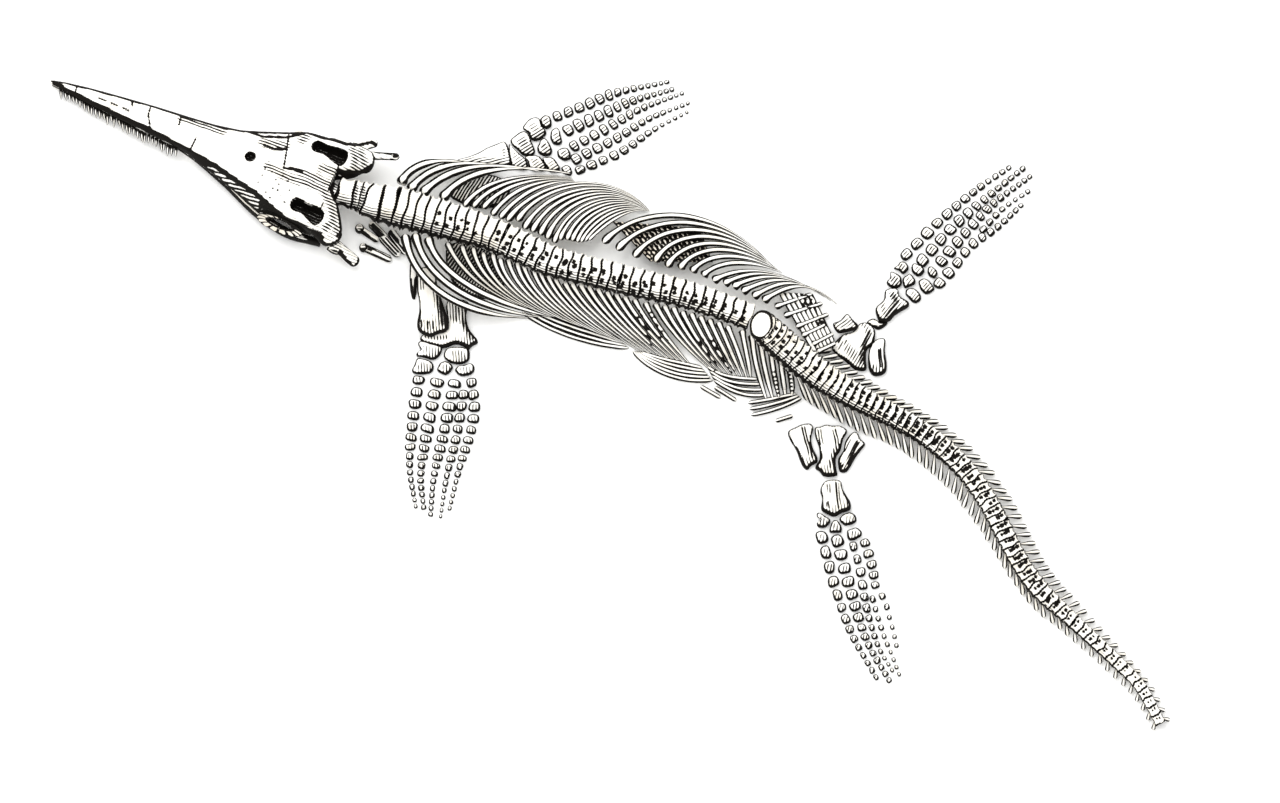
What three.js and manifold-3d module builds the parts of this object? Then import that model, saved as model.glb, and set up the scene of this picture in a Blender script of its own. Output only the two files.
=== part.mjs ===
// The skeleton of a slender-snouted ichthyosaur, lying belly down on a flat surface.
// Millimetres, +Z up. The ground is z = 0 and every bone rests on it or on other bones.
import * as THREE from 'three';
import { mergeVertices } from 'three/addons/utils/BufferGeometryUtils.js';
import loadManifold from 'manifold-3d';

const manifold = await loadManifold();
manifold.setup();

// Driving dimensions.
// Places are written as x, y as they are seen down a sight line that leans SIGHT_LEAN from plumb,
// with z as the true height above the ground. seen() turns them into true places.
const SIGHT_LEAN = THREE.MathUtils.degToRad(12);
const BODY_TURN = THREE.MathUtils.degToRad(20);
const CLEARANCE = 0.6;
const GROUND_ROD_HEIGHT = 4;

const SNOUT_TIP = [-1184, 656];
const SKULL_TURN = THREE.MathUtils.degToRad(-22.2);
const SKULL_MIDLINE = -3;
const TEETH_PER_SIDE = 8;

const COLUMN_ROUTE = [
  [-606, 421, 72], [-556, 409, 74], [-530, 399, 77], [-480, 387, 79], [-400, 365, 80],
  [-300, 335, 80], [-240, 309, 80], [-180, 281, 80], [-80, 255, 80], [0, 235, 79],
  [80, 217, 77], [160, 191, 71], [221, 168, 63],
];
const COLUMN_RADII = [29, 31, 38, 42, 40, 34, 33, 32, 31, 30, 29, 28, 27];
const TAIL_ROUTE = [
  [234, 160, 122], [274, 123, 97], [314, 89, 77], [350, 59, 63], [420, 15, 47], [470, -11, 39],
  [520, -37, 32], [576, -71, 27], [646, -133, 24], [690, -193, 23], [720, -249, 21.5],
  [760, -325, 21], [798, -377, 21], [840, -417, 18], [888, -461, 16], [950, -519, 14],
  [994, -565, 13], [1036, -641, 11.5],
];
const TAIL_RADII = [29, 32, 33, 32, 28, 26, 24, 23, 22, 21, 20.5, 20, 20, 17, 15, 13.5, 12.5, 11];

// Each run of the column: its name, how many vertebrae it has and how many rings each of them has.
const TRUNK_RUNS = [
  ['column_neck', 5, 2], ['column_front', 9, 2], ['column_middle', 10, 2], ['column_rear', 11, 2],
];
const TAIL_RUNS = [
  ['tail_root', 8, 2], ['tail_front', 11, 1], ['tail_middle', 12, 1], ['tail_rear', 12, 1],
  ['tail_tip', 13, 1],
];

const CAGE_CREST = 58;
const CAGE_EDGE = 6;
const CAGE_REACH_RIGHT = [80, 95, 127, 158, 178, 155, 150, 110, 100];
const CAGE_REACH_LEFT = [80, 85, 90, 88, 92, 112, 108, 55, 48];

const UP = new THREE.Vector3(0, 0, 1);

function seen(x, y, z) {
  return new THREE.Vector3(x, (y - z * Math.sin(SIGHT_LEAN)) / Math.cos(SIGHT_LEAN), z);
}

function lerp(a, b, t) {
  return a + (b - a) * t;
}

function lerpPlace(a, b, t) {
  return a.map((value, axis) => lerp(value, b[axis], t));
}

// Reads an evenly spaced list of values at t from 0 to 1.
function readAt(values, t) {
  const spot = THREE.MathUtils.clamp(t, 0, 1) * (values.length - 1);
  const low = Math.min(Math.floor(spot), values.length - 2);
  return lerp(values[low], values[low + 1], spot - low);
}

function curveThrough(places) {
  return new THREE.CatmullRomCurve3(places, false, 'centripetal');
}

const columnCurve = curveThrough(COLUMN_ROUTE.map((place) => seen(...place)));
const tailCurve = curveThrough(TAIL_ROUTE.map((place) => seen(...place)));

// A closed skin over rings of points. Each ring starts at its top and goes round by its left.
function loft(rings) {
  const sides = rings[0].length;
  const skin = new THREE.CylinderGeometry(1, 1, 1, sides, rings.length - 1);
  const position = skin.getAttribute('position');
  const put = (index, point) => position.setXYZ(index, point.x, point.y, point.z);
  let index = 0;
  for (const ring of rings) {
    for (let corner = 0; corner <= sides; corner += 1) put(index++, ring[corner % sides]);
  }
  for (const ring of [rings[0], rings.at(-1)]) {
    const middle = ring.reduce((sum, point) => sum.add(point), new THREE.Vector3()).divideScalar(sides);
    for (let corner = 0; corner < sides; corner += 1) put(index++, middle);
    for (let corner = 0; corner <= sides; corner += 1) put(index++, ring[corner % sides]);
  }
  return skin;
}

// One ring of a rod: an ellipse across the curve at t, with half width and half height.
function ringAcross(curve, t, halfWidth, halfHeight, sides, turn = 0) {
  const centre = curve.getPoint(t);
  const along = curve.getTangent(t);
  const side = new THREE.Vector3().crossVectors(UP, along).normalize();
  const lift = new THREE.Vector3().crossVectors(along, side);
  return Array.from({ length: sides }, (_, corner) => {
    const angle = turn + (corner / sides) * Math.PI * 2;
    return centre.clone()
      .addScaledVector(side, Math.sin(angle) * halfWidth)
      .addScaledVector(lift, Math.cos(angle) * halfHeight);
  });
}

// A rod along a curve. Each station is [t, half width, half height].
function rod(curve, stations, sides, turn = 0) {
  return loft(stations.map(([t, width, height]) => ringAcross(curve, t, width, height, sides, turn)));
}

// Turns a closed mesh into a solid for joining and cutting.
function solid(geometry) {
  const bare = geometry.clone();
  bare.deleteAttribute('normal');
  bare.deleteAttribute('uv');
  const merged = mergeVertices(bare, 1e-3);
  const corners = [];
  const index = merged.getIndex().array;
  for (let i = 0; i < index.length; i += 3) {
    const [a, b, c] = index.slice(i, i + 3);
    if (a !== b && b !== c && c !== a) corners.push(a, b, c);
  }
  return new manifold.Manifold(new manifold.Mesh({
    numProp: 3,
    vertProperties: new Float32Array(merged.getAttribute('position').array),
    triVerts: new Uint32Array(corners),
  }));
}

function fuse(geometries) {
  return geometries.map(solid).reduce((whole, piece) => whole.add(piece));
}

function cut(whole, geometries) {
  return geometries.map(solid).reduce((rest, tool) => rest.subtract(tool), whole);
}

function toGeometry(body) {
  const mesh = body.getMesh();
  const geometry = new THREE.BufferGeometry();
  geometry.setAttribute('position', new THREE.BufferAttribute(new Float32Array(mesh.vertProperties), 3));
  geometry.setIndex(new THREE.BufferAttribute(new Uint32Array(mesh.triVerts), 1));
  geometry.computeVertexNormals();
  return geometry;
}

const skeleton = new THREE.Group();

function addBone(name, body, color, place = skeleton) {
  const material = new THREE.MeshStandardMaterial({ color, roughness: 0.75, metalness: 0 });
  const bone = new THREE.Mesh(toGeometry(body), material);
  bone.name = name;
  place.add(bone);
}

const IVORY = 0xe9dfc6;
const CREAM = 0xf1e9d3;
const AGED = 0xd9cba8;

// Skull. Its own frame: x along the skull from the snout tip, y to the animal's right.
// It leans a little to its left. Stations of the upper skull: along, half width of the roof, right
// and left half width of the cheek, height of the top and height of the jaw line.
const SKULL_STATIONS = [
  [0, 3, 5, 3, 17, 12], [30, 8, 11, 6, 27, 14], [80, 15, 18, 12, 35, 16], [150, 22, 25, 19, 43, 19],
  [220, 27, 32, 27, 50, 22], [300, 32, 37, 34, 59, 26], [345, 35, 40, 49, 67, 29],
  [396, 42, 47, 65, 80, 32], [441, 54, 58, 82, 96, 36], [491, 70, 79, 103, 108, 40],
  [530, 86, 94, 114, 114, 42], [575, 89, 98, 117, 117, 42], [612, 80, 92, 104, 108, 44],
];
// The cross-section: how high the roof's edge lies, as a share of the height, the shoulder between
// the edge and the ridge, how high the cheek stands above the jaw line and how wide the palate is.
const ROOF_EDGE = 0.76;
const SHOULDER = { out: 0.62, up: 0.82 };
const CHEEK_RISE = 5;
const PALATE_SHARE = 0.82;

function skullRing([along, roof, rightCheek, leftCheek, top, jaw]) {
  const edge = lerp(jaw, top, ROOF_EDGE);
  const flank = (side, cheek) => [
    [side * roof * SHOULDER.out, lerp(edge, top, SHOULDER.up)],
    [side * roof, edge],
    [side * cheek, jaw + CHEEK_RISE],
    [side * cheek * PALATE_SHARE, jaw],
  ];
  const ring = [[0, top], ...flank(1, rightCheek), [0, jaw], ...flank(-1, leftCheek).reverse()];
  return ring.map(([across, up]) => new THREE.Vector3(along, SKULL_MIDLINE + across, up));
}

function straight(from, to) {
  return new THREE.LineCurve3(new THREE.Vector3(...from), new THREE.Vector3(...to));
}

function lump(centre, radii, sides, rows) {
  return new THREE.SphereGeometry(1, sides, rows).rotateX(Math.PI / 2).scale(...radii).translate(...centre);
}

// An upright six-sided pit: centre, half length, half width and depth.
function pit(centre, [length, width, depth]) {
  return new THREE.CylinderGeometry(1, 1, 1, 6)
    .rotateX(Math.PI / 2)
    .scale(length, width, depth)
    .translate(...centre);
}

function readStation(along) {
  const next = SKULL_STATIONS.findIndex((station) => station[0] > along);
  const [low, high] = [SKULL_STATIONS[next - 1], SKULL_STATIONS[next]];
  return lerpPlace(low, high, (along - low[0]) / (high[0] - low[0]));
}

// Teeth: three-sided spikes between the first and the last place along both edges of the jaw. The
// left ones stand out further, because the skull leans to that side.
const TEETH_FROM = 34;
const TEETH_TO = 290;
const TOOTH = { radius: 3, sunk: 3, sweep: 6, drop: 8, splayRight: 3, splayLeft: 11 };

function tooth(along, side) {
  const [, , rightCheek, leftCheek, , jaw] = readStation(along);
  const cheek = side > 0 ? rightCheek : leftCheek;
  const splay = side > 0 ? TOOTH.splayRight : TOOTH.splayLeft;
  const root = [along, SKULL_MIDLINE + side * (cheek - TOOTH.sunk), jaw + TOOTH.sunk];
  const tip = [along + TOOTH.sweep, SKULL_MIDLINE + side * (cheek + splay), jaw - TOOTH.drop];
  return rod(straight(root, tip), [[0, TOOTH.radius, TOOTH.radius], [1, 0, 0]], 3);
}

// The two rear lobes of the skull, bent rods with the same section.
const REAR_LOBES = [
  [[570, 52, 82], [625, 66, 76], [672, 78, 60]],
  [[570, -58, 80], [625, -76, 70], [660, -104, 48]],
];
const LOBE_STATIONS = [[0, 36, 28], [0.45, 36, 27], [0.8, 27, 20], [1, 13, 10]];

// Straight processes behind the lobes: where each runs, its stations and its number of sides.
const REAR_PROCESSES = [
  { from: [628, 96, 62], to: [659, 119, 58], stations: [[0, 12, 10], [1, 6, 6]], sides: 5 },
  { from: [660, 92, 58], to: [711, 111, 50], stations: [[0, 9, 9], [0.85, 7, 7], [1, 5, 5]], sides: 6 },
  { from: [660, -98, 40], to: [713, -116, 22], stations: [[0, 9, 9], [0.75, 10, 9], [1, 6, 6]], sides: 6 },
];
const JAW_KNOB = { centre: [662, -106, 38], radii: [13, 13, 12] };

// Openings in the roof: centre, then half length, half width and depth. Two pits make each of the
// long openings, one is the small round opening on the midline, and the last parts the lobes.
const OPENINGS = [
  [[553, 60, 118], [16, 12, 40]], [[597, 54, 112], [22, 16, 40]],
  [[556, -68, 118], [16, 12, 40]], [[599, -72, 110], [22, 16, 40]],
  [[436, SKULL_MIDLINE - 3, 100], [12, 11, 24]],
  [[640, SKULL_MIDLINE - 4, 60], [28, 32, 200]],
];
const ORBITS = [
  { centre: [520, -112, 62], radii: [62, 26, 27] },
  { centre: [520, 86, 62], radii: [62, 24, 27] },
];

function makeSkull() {
  const lobes = REAR_LOBES.map((places) => (
    new THREE.CatmullRomCurve3(places.map((place) => new THREE.Vector3(...place)))
  ));
  const pieces = [
    loft(SKULL_STATIONS.map(skullRing)),
    ...lobes.map((curve) => rod(curve, LOBE_STATIONS, 6)),
    ...REAR_PROCESSES.map(({ from, to, stations, sides }) => rod(straight(from, to), stations, sides)),
    lump(JAW_KNOB.centre, JAW_KNOB.radii, 6, 3),
  ];
  for (let i = 0; i < TEETH_PER_SIDE; i += 1) {
    const along = lerp(TEETH_FROM, TEETH_TO, i / (TEETH_PER_SIDE - 1));
    pieces.push(tooth(along, 1), tooth(along, -1));
  }
  const hollows = [
    ...OPENINGS.map(([centre, size]) => pit(centre, size)),
    ...ORBITS.map(({ centre, radii }) => lump(centre, radii, 8, 4)),
  ];
  return cut(fuse(pieces), hollows);
}

// Lower jaw: two bars that meet along the snout. Stations: along, middle, half width, height.
const JAW_STATIONS = [
  [6, 2, 2.2, 9], [80, 6, 6, 13], [150, 9, 9, 16], [300, 21, 14, 23], [396, 53, 12, 29],
  [491, 94, 10, 37], [560, 109, 10, 39], [630, 102, 8, 30],
];
// The right bar stands nearer the middle, because the skull leans to its left.
const RIGHT_JAW_SHARE = 0.8;
// The bar's section, outwards and upwards, as shares of its half width and height.
const JAW_SECTION = [[0.4, 1], [1, 0.55], [0.6, 0], [-1, 0], [-1, 0.8]];

function jawBar(side) {
  const share = side > 0 ? RIGHT_JAW_SHARE : 1;
  return loft(JAW_STATIONS.map(([along, middle, half, height]) => {
    const ring = JAW_SECTION.map(([out, up]) => (
      new THREE.Vector3(along, SKULL_MIDLINE + side * (middle * share + half * out), height * up)
    ));
    return side > 0 ? ring : [ring[0], ...ring.slice(1).reverse()];
  }));
}

// The ring of plates round the eye, standing in the orbit and leaning outwards: its profile as
// radius and height, how far it is squashed, and where it stands.
const EYE_RING = {
  profile: [[33, -3], [50, -6], [52, -2], [36, 3], [33, -3]],
  sides: 12,
  squash: 0.44,
  lean: THREE.MathUtils.degToRad(30),
  along: 520,
  height: 62,
};

function eyeRing(side, across) {
  const profile = EYE_RING.profile.map(([radius, up]) => new THREE.Vector2(radius, up));
  const plates = new THREE.LatheGeometry(profile, EYE_RING.sides);
  plates.scale(1, 1, EYE_RING.squash).rotateX(side * EYE_RING.lean);
  return solid(plates.translate(EYE_RING.along, SKULL_MIDLINE + across, EYE_RING.height));
}

function addSkull() {
  const head = new THREE.Group();
  head.position.set(...SNOUT_TIP, 0);
  head.rotation.z = SKULL_TURN;
  skeleton.add(head);
  addBone('skull', makeSkull(), CREAM, head);
  addBone('mandible', fuse([jawBar(1), jawBar(-1)]), IVORY, head);
  addBone('eye_ring_right', eyeRing(1, 91), AGED, head);
  addBone('eye_ring_left', eyeRing(-1, -108), AGED, head);
}

addSkull();

// Vertebral column. Each vertebra is a drum, drawn in at the joints. A drum has six sides, lies on
// one of them and keeps its full width and height.
const JOINT_WAIST = 0.86;
const DRUM_SIDES = 6;
const DRUM_TURN = Math.PI / DRUM_SIDES;
const DRUM_STRETCH = 1 / Math.cos(DRUM_TURN);

function columnRun(curve, radii, from, to, count) {
  const stations = [];
  for (let i = 0; i <= count; i += 1) {
    const t = curve.getUtoTmapping(lerp(from, to, i / count));
    const radius = readAt(radii, t) * (i % 2 === 0 ? JOINT_WAIST : 1);
    stations.push([t, radius, radius * DRUM_STRETCH]);
  }
  return rod(curve, stations, DRUM_SIDES, DRUM_TURN);
}

function addRuns(curve, radii, runs, extras) {
  const total = runs.reduce((sum, [, count]) => sum + count, 0);
  const gap = CLEARANCE / curve.getLength();
  let done = 0;
  for (const [name, count, rings] of runs) {
    const from = done / total + gap;
    const to = (done + count) / total - gap;
    const drums = columnRun(curve, radii, from, to, count * rings);
    addBone(name, fuse([drums, ...extras(from, to, count, curve)]), IVORY);
    done += count;
  }
}

// Rods that stand out from the tail on both sides: bearings as seen, in degrees, root to tip.
const UPPER_BEARINGS = [24, 24, 22, 14, 8, 2, -6, 0, 10, 24, 10, -12, -16];
const LOWER_BEARINGS = [-66, -62, -62, -70, -72, -92, -108, -98, -82, -80, -88, -100, -104];
const UPPER_LENGTHS = [40, 40, 38, 34, 35, 34, 33, 32, 29, 26, 21, 16, 14];
const LOWER_LENGTHS = [54, 48, 42, 40, 36, 36, 34, 30, 28, 22, 18, 16, 14];
const TAIL_ROD_RADII = [4.6, 4.2, 3.4, 2.6];
// Where a rod's root lies in its drum: how far out and how far below the middle, as shares of the
// drum's radius, and how deep it is sunk.
const ROD_ROOT = { out: 0.8, below: 0.4, sunk: 3 };
// How far along the tail the rods begin on each side, and where they come to stand further apart.
const UPPER_RODS_FROM = 0.13;
const LOWER_RODS_FROM = 0.12;
const SPARSE_RODS_FROM = 0.5;
const SPARSE_ROD_STEP = 1.5;

function tailRod(t, bearings, lengths, side) {
  const centre = tailCurve.getPoint(t);
  const radius = readAt(TAIL_RADII, t);
  const bearing = THREE.MathUtils.degToRad(readAt(bearings, t));
  const tangent = tailCurve.getTangent(t);
  const outward = new THREE.Vector3(-tangent.y, tangent.x, 0).normalize().multiplyScalar(side);
  const root = centre.clone().addScaledVector(outward, radius * ROD_ROOT.out - ROD_ROOT.sunk);
  root.z = Math.max(GROUND_ROD_HEIGHT, centre.z - radius * ROD_ROOT.below);
  const reach = readAt(lengths, t) + radius * (1 - ROD_ROOT.out) + ROD_ROOT.sunk;
  const heading = new THREE.Vector3(Math.cos(bearing), Math.sin(bearing), 0);
  const tip = root.clone().addScaledVector(heading, reach);
  tip.z = GROUND_ROD_HEIGHT;
  const thick = readAt(TAIL_ROD_RADII, t);
  return rod(new THREE.LineCurve3(root, tip), [[0, thick, thick], [1, 0, 0]], 3);
}

addRuns(columnCurve, COLUMN_RADII, TRUNK_RUNS, () => []);
addRuns(tailCurve, TAIL_RADII, TAIL_RUNS, (from, to, count, curve) => {
  const rods = [];
  const step = from > SPARSE_RODS_FROM ? SPARSE_ROD_STEP : 1;
  for (let i = 0.5; i < count; i += step) {
    const t = curve.getUtoTmapping(lerp(from, to, i / count));
    if (t > UPPER_RODS_FROM) rods.push(tailRod(t, UPPER_BEARINGS, UPPER_LENGTHS, 1));
    if (t > LOWER_RODS_FROM) rods.push(tailRod(t, LOWER_BEARINGS, LOWER_LENGTHS, -1));
  }
  return rods;
});

// Rib cage. A rib is drawn as a bent line in the seen plane and then laid over the cage's form,
// which is high beside the column and runs down to the ground at its edge. The cage follows the
// column and the first quarter of the tail.
const TRACK_PARTS = 60;
const TAIL_TRACK_PARTS = 16;
const spineTrack = [
  ...columnCurve.getSpacedPoints(TRACK_PARTS),
  ...tailCurve.getSpacedPoints(TRACK_PARTS).slice(0, TAIL_TRACK_PARTS),
];

function cageHeight(x, y, reach, low = CAGE_EDGE) {
  const place = seen(x, y, low);
  const away = spineTrack.map((spot) => Math.hypot(spot.x - place.x, spot.y - place.y));
  const nearest = Math.min(...away);
  const edge = readAt(reach, away.indexOf(nearest) / (spineTrack.length - 1));
  const out = Math.min(nearest / edge, 1);
  return lerp(CAGE_CREST, low, out * out);
}

const RIB_STEPS = [0, 0.08, 0.38, 0.7, 1];
const RIB_SWELL = [0, 1.4, 1, 0.9];
const RIB_FLATNESS = 0.85;

function flatCurve(handles) {
  return new THREE.CubicBezierCurve(...handles.map(([x, y]) => new THREE.Vector2(x, y)));
}

function blendHandles(first, last, share) {
  return first.map((handle, k) => lerpPlace(handle, last[k], share));
}

function rib(handles, fan) {
  const line = flatCurve(handles);
  const places = RIB_STEPS.map((t) => {
    const { x, y } = line.getPoint(t);
    if (fan.arch) return seen(x, y, lerp(CAGE_CREST + fan.lift, fan.low, t ** fan.arch));
    return seen(x, y, cageHeight(x, y, fan.reach, fan.low) + fan.lift * (1 - t));
  });
  const last = RIB_STEPS.length - 1;
  const stations = [...RIB_SWELL, fan.tip ?? 0].map((swell, i) => (
    [i / last, fan.thick * swell, fan.thick * swell * RIB_FLATNESS]
  ));
  return rod(curveThrough(places), stations, 3);
}

// A fan of ribs: every head has its own place, the other three handles run from first to last.
function ribFan(fan) {
  return fan.heads.map((head, i) => (
    rib([head, ...blendHandles(fan.first, fan.last, i / (fan.heads.length - 1))], fan)
  ));
}

const RIGHT_FANS = [
  {
    heads: [[-478, 437], [-460, 423], [-436, 415], [-396, 405]],
    first: [[-464, 477], [-400, 497], [-324, 471]],
    last: [[-360, 459], [-280, 483], [-140, 457]],
    thick: 6.5, lift: 12, low: 18,
  },
  {
    heads: [[-352, 391], [-334, 389], [-314, 387], [-296, 373], [-280, 367]],
    first: [[-320, 443], [-240, 463], [-136, 449]],
    last: [[-240, 423], [-180, 445], [-130, 441]],
    thick: 4.5, lift: 0,
  },
  {
    heads: [
      [-266, 361], [-246, 361], [-232, 345], [-216, 339], [-200, 333], [-186, 325], [-172, 317],
      [-160, 323], [-146, 323], [-136, 321], [-126, 319], [-118, 319], [-110, 321], [-102, 323],
    ],
    first: [[-210, 447], [-56, 473], [20, 381]],
    last: [[-74, 353], [-28, 387], [8, 383]],
    thick: 4, lift: 0,
  },
  {
    heads: [
      [-74, 317], [-46, 303], [-12, 289], [30, 279], [54, 269], [80, 265], [104, 259], [126, 251],
    ],
    first: [[0, 403], [170, 393], [262, 271]],
    last: [[150, 279], [210, 291], [286, 257]],
    thick: 4.5, lift: 0, tip: 0.6,
  },
  {
    heads: [[146, 241], [168, 235], [186, 229], [204, 219], [226, 209], [246, 201]],
    first: [[190, 267], [252, 273], [330, 233]],
    last: [[290, 231], [336, 251], [396, 193]],
    thick: 4.2, lift: 0,
  },
];

const LEFT_FANS = [
  {
    heads: [[-470, 335], [-450, 337], [-424, 329]],
    first: [[-456, 223], [-340, 167], [-220, 168]],
    last: [[-408, 259], [-320, 203], [-176, 169]],
    thick: 6, lift: 14, low: 3, arch: 2.4, tip: 0.4,
  },
  {
    heads: [
      [-386, 319], [-356, 313], [-334, 309], [-314, 299], [-294, 297], [-280, 287], [-264, 287],
      [-246, 279], [-234, 275], [-214, 267], [-200, 259], [-185, 253], [-171, 247],
    ],
    first: [[-360, 253], [-280, 193], [-176, 175]],
    last: [[-150, 203], [-100, 153], [-24, 113]],
    thick: 4.2, lift: 6, low: 13,
  },
  {
    heads: [
      [-151, 239], [-137, 237], [-120, 235], [-104, 231], [-86, 227], [-68, 221], [-50, 217],
      [-32, 211], [-12, 205], [10, 199],
    ],
    first: [[-130, 193], [-80, 153], [3, 97]],
    last: [[30, 153], [64, 113], [104, 70]],
    thick: 4.2, lift: 6, low: 3,
  },
  {
    heads: [
      [30, 197], [48, 193], [66, 189], [84, 181], [102, 177], [120, 171], [138, 165], [156, 159],
      [174, 151], [204, 143],
    ],
    first: [[50, 153], [90, 107], [150, 55]],
    last: [[210, 107], [218, 73], [222, 43]],
    thick: 4.4, lift: 6, low: 3, tip: 0.4,
  },
  {
    heads: [[224, 133], [240, 125], [262, 103], [282, 83], [298, 67]],
    first: [[226, 93], [236, 53], [253, 3]],
    last: [[302, 45], [306, 28], [303, 13]],
    thick: 5, lift: -10, low: 4.5, tip: 0.4,
  },
];

// Belly ribs: bundles of rods on the ground along the left edge of the cage. The tips of the left
// ribs lie in them, so a bundle is one piece with its fan.
const BELLY_ROD = 4.5;
const LEFT_BUNDLES = {
  ribs_left_1: {
    count: 4,
    first: [[-236, 179], [-180, 139], [-100, 111], [-22, 107]],
    last: [[-190, 175], [-140, 159], [-90, 147], [-40, 121]],
  },
  ribs_left_3: {
    count: 5,
    first: [[-14, 101], [20, 59], [80, 35], [146, 43]],
    last: [[0, 99], [40, 84], [90, 76], [124, 67]],
  },
  ribs_left_4: {
    count: 4,
    first: [[136, 69], [158, 51], [190, 45], [236, 45]],
    last: [[148, 43], [190, 13], [220, 9], [248, 13]],
  },
  ribs_left_5: {
    count: 3,
    first: [[216, -3], [260, 3], [290, 11], [312, 15]],
    last: [[222, -27], [270, -19], [300, -5], [322, 7]],
  },
};

// A rod on the ground, pointed at both ends: each station is its place and its share of the radius.
const GROUND_ROD_SWELLS = [[0, 0], [0.12, 1], [0.5, 1], [0.88, 1], [1, 0]];
const GROUND_ROD_PARTS = 4;

function groundRod(handles, thick) {
  const places = flatCurve(handles).getPoints(GROUND_ROD_PARTS).map(({ x, y }) => seen(x, y, thick * 0.5));
  const stations = GROUND_ROD_SWELLS.map(([t, swell]) => [t, thick * swell, thick * swell]);
  return rod(curveThrough(places), stations, 3);
}

// The handles of a straight rod.
function straightHandles(head, tip) {
  return [0, 0.33, 0.67, 1].map((t) => lerpPlace(head, tip, t));
}

function bundleRods({ count, first, last }) {
  return Array.from({ length: count }, (_, i) => (
    groundRod(blendHandles(first, last, i / (count - 1)), BELLY_ROD)
  ));
}

RIGHT_FANS.forEach((fan, i) => {
  addBone(`ribs_right_${i + 1}`, fuse(ribFan({ ...fan, reach: CAGE_REACH_RIGHT })), CREAM);
});
LEFT_FANS.forEach((fan, i) => {
  const name = `ribs_left_${i + 1}`;
  const bundle = LEFT_BUNDLES[name] ? bundleRods(LEFT_BUNDLES[name]) : [];
  addBone(name, fuse([...ribFan({ ...fan, reach: CAGE_REACH_LEFT }), ...bundle]), CREAM);
});

const LOOSE_RODS = [[[272, -39], [304, -29]], [[122, 30], [160, 8]], [[150, 28], [192, 2]]];

LOOSE_RODS.forEach(([head, tip], i) => {
  addBone(`belly_rib_loose_${i + 1}`, solid(groundRod(straightHandles(head, tip), BELLY_ROD)), IVORY);
});

// Belly ribs under the right side. The front sheet is of close rods and is drawn with ridges. The
// rear sheet is plain and short straight ribs lie in its top.
const SHEET_DEPTH = 3;
const SHEET_DROP = 11;
const RIDGE_RISE = 2.5;
const FRONT_SHEET = { ridges: 9, from: [[-56, 361], [120, 347]], to: [[20, 281], [146, 279]] };
const REAR_SHEET = { ridges: 1, from: [[276, 219], [346, 215]], to: [[348, 95], [389, 120]] };
const REAR_RIBS = [
  [[270, 189], [344, 215]], [[288, 171], [366, 197]], [[312, 149], [378, 175]],
  [[324, 131], [370, 153]], [[344, 113], [386, 135]], [[354, 99], [390, 116]],
];

function onSheet([x, y], rise) {
  const height = cageHeight(x, y, CAGE_REACH_RIGHT) - SHEET_DROP;
  return seen(x, y, Math.max(height, SHEET_DEPTH) + rise);
}

function sheetRing([a, b], ridges) {
  const top = Array.from({ length: 2 * ridges + 1 }, (_, i) => (
    onSheet(lerpPlace(a, b, i / (2 * ridges)), (i % 2) * RIDGE_RISE)
  ));
  const under = [top.at(-1), top[0]].map((corner) => corner.clone().setZ(corner.z - SHEET_DEPTH));
  return [...top, ...under];
}

function sheet({ ridges, from, to }) {
  const middle = blendHandles(from, to, 0.5);
  return loft([from, middle, to].map((edge) => sheetRing(edge, ridges)));
}

const REAR_RIB_STATIONS = [[0, 5, 4.5], [0.8, 5, 4.5], [1, 0, 0]];

function rearRib([head, tip]) {
  return rod(new THREE.LineCurve3(onSheet(head, 0), onSheet(tip, 0)), REAR_RIB_STATIONS, 3);
}

addBone('belly_ribs_right', solid(sheet(FRONT_SHEET)), AGED);
addBone('ribs_right_6', fuse([sheet(REAR_SHEET), ...REAR_RIBS.map(rearRib)]), CREAM);

// Flat bones. An outline seen from above, its thickness and the height it lies at.
function plate(outline, thickness, base = 0) {
  const places = outline.map(([x, y]) => seen(x, y, base + thickness));
  const shape = new THREE.Shape(places.map(({ x, y }) => new THREE.Vector2(x, y)));
  return new THREE.ExtrudeGeometry(shape, { depth: thickness, bevelEnabled: false }).translate(0, 0, base);
}

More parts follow.
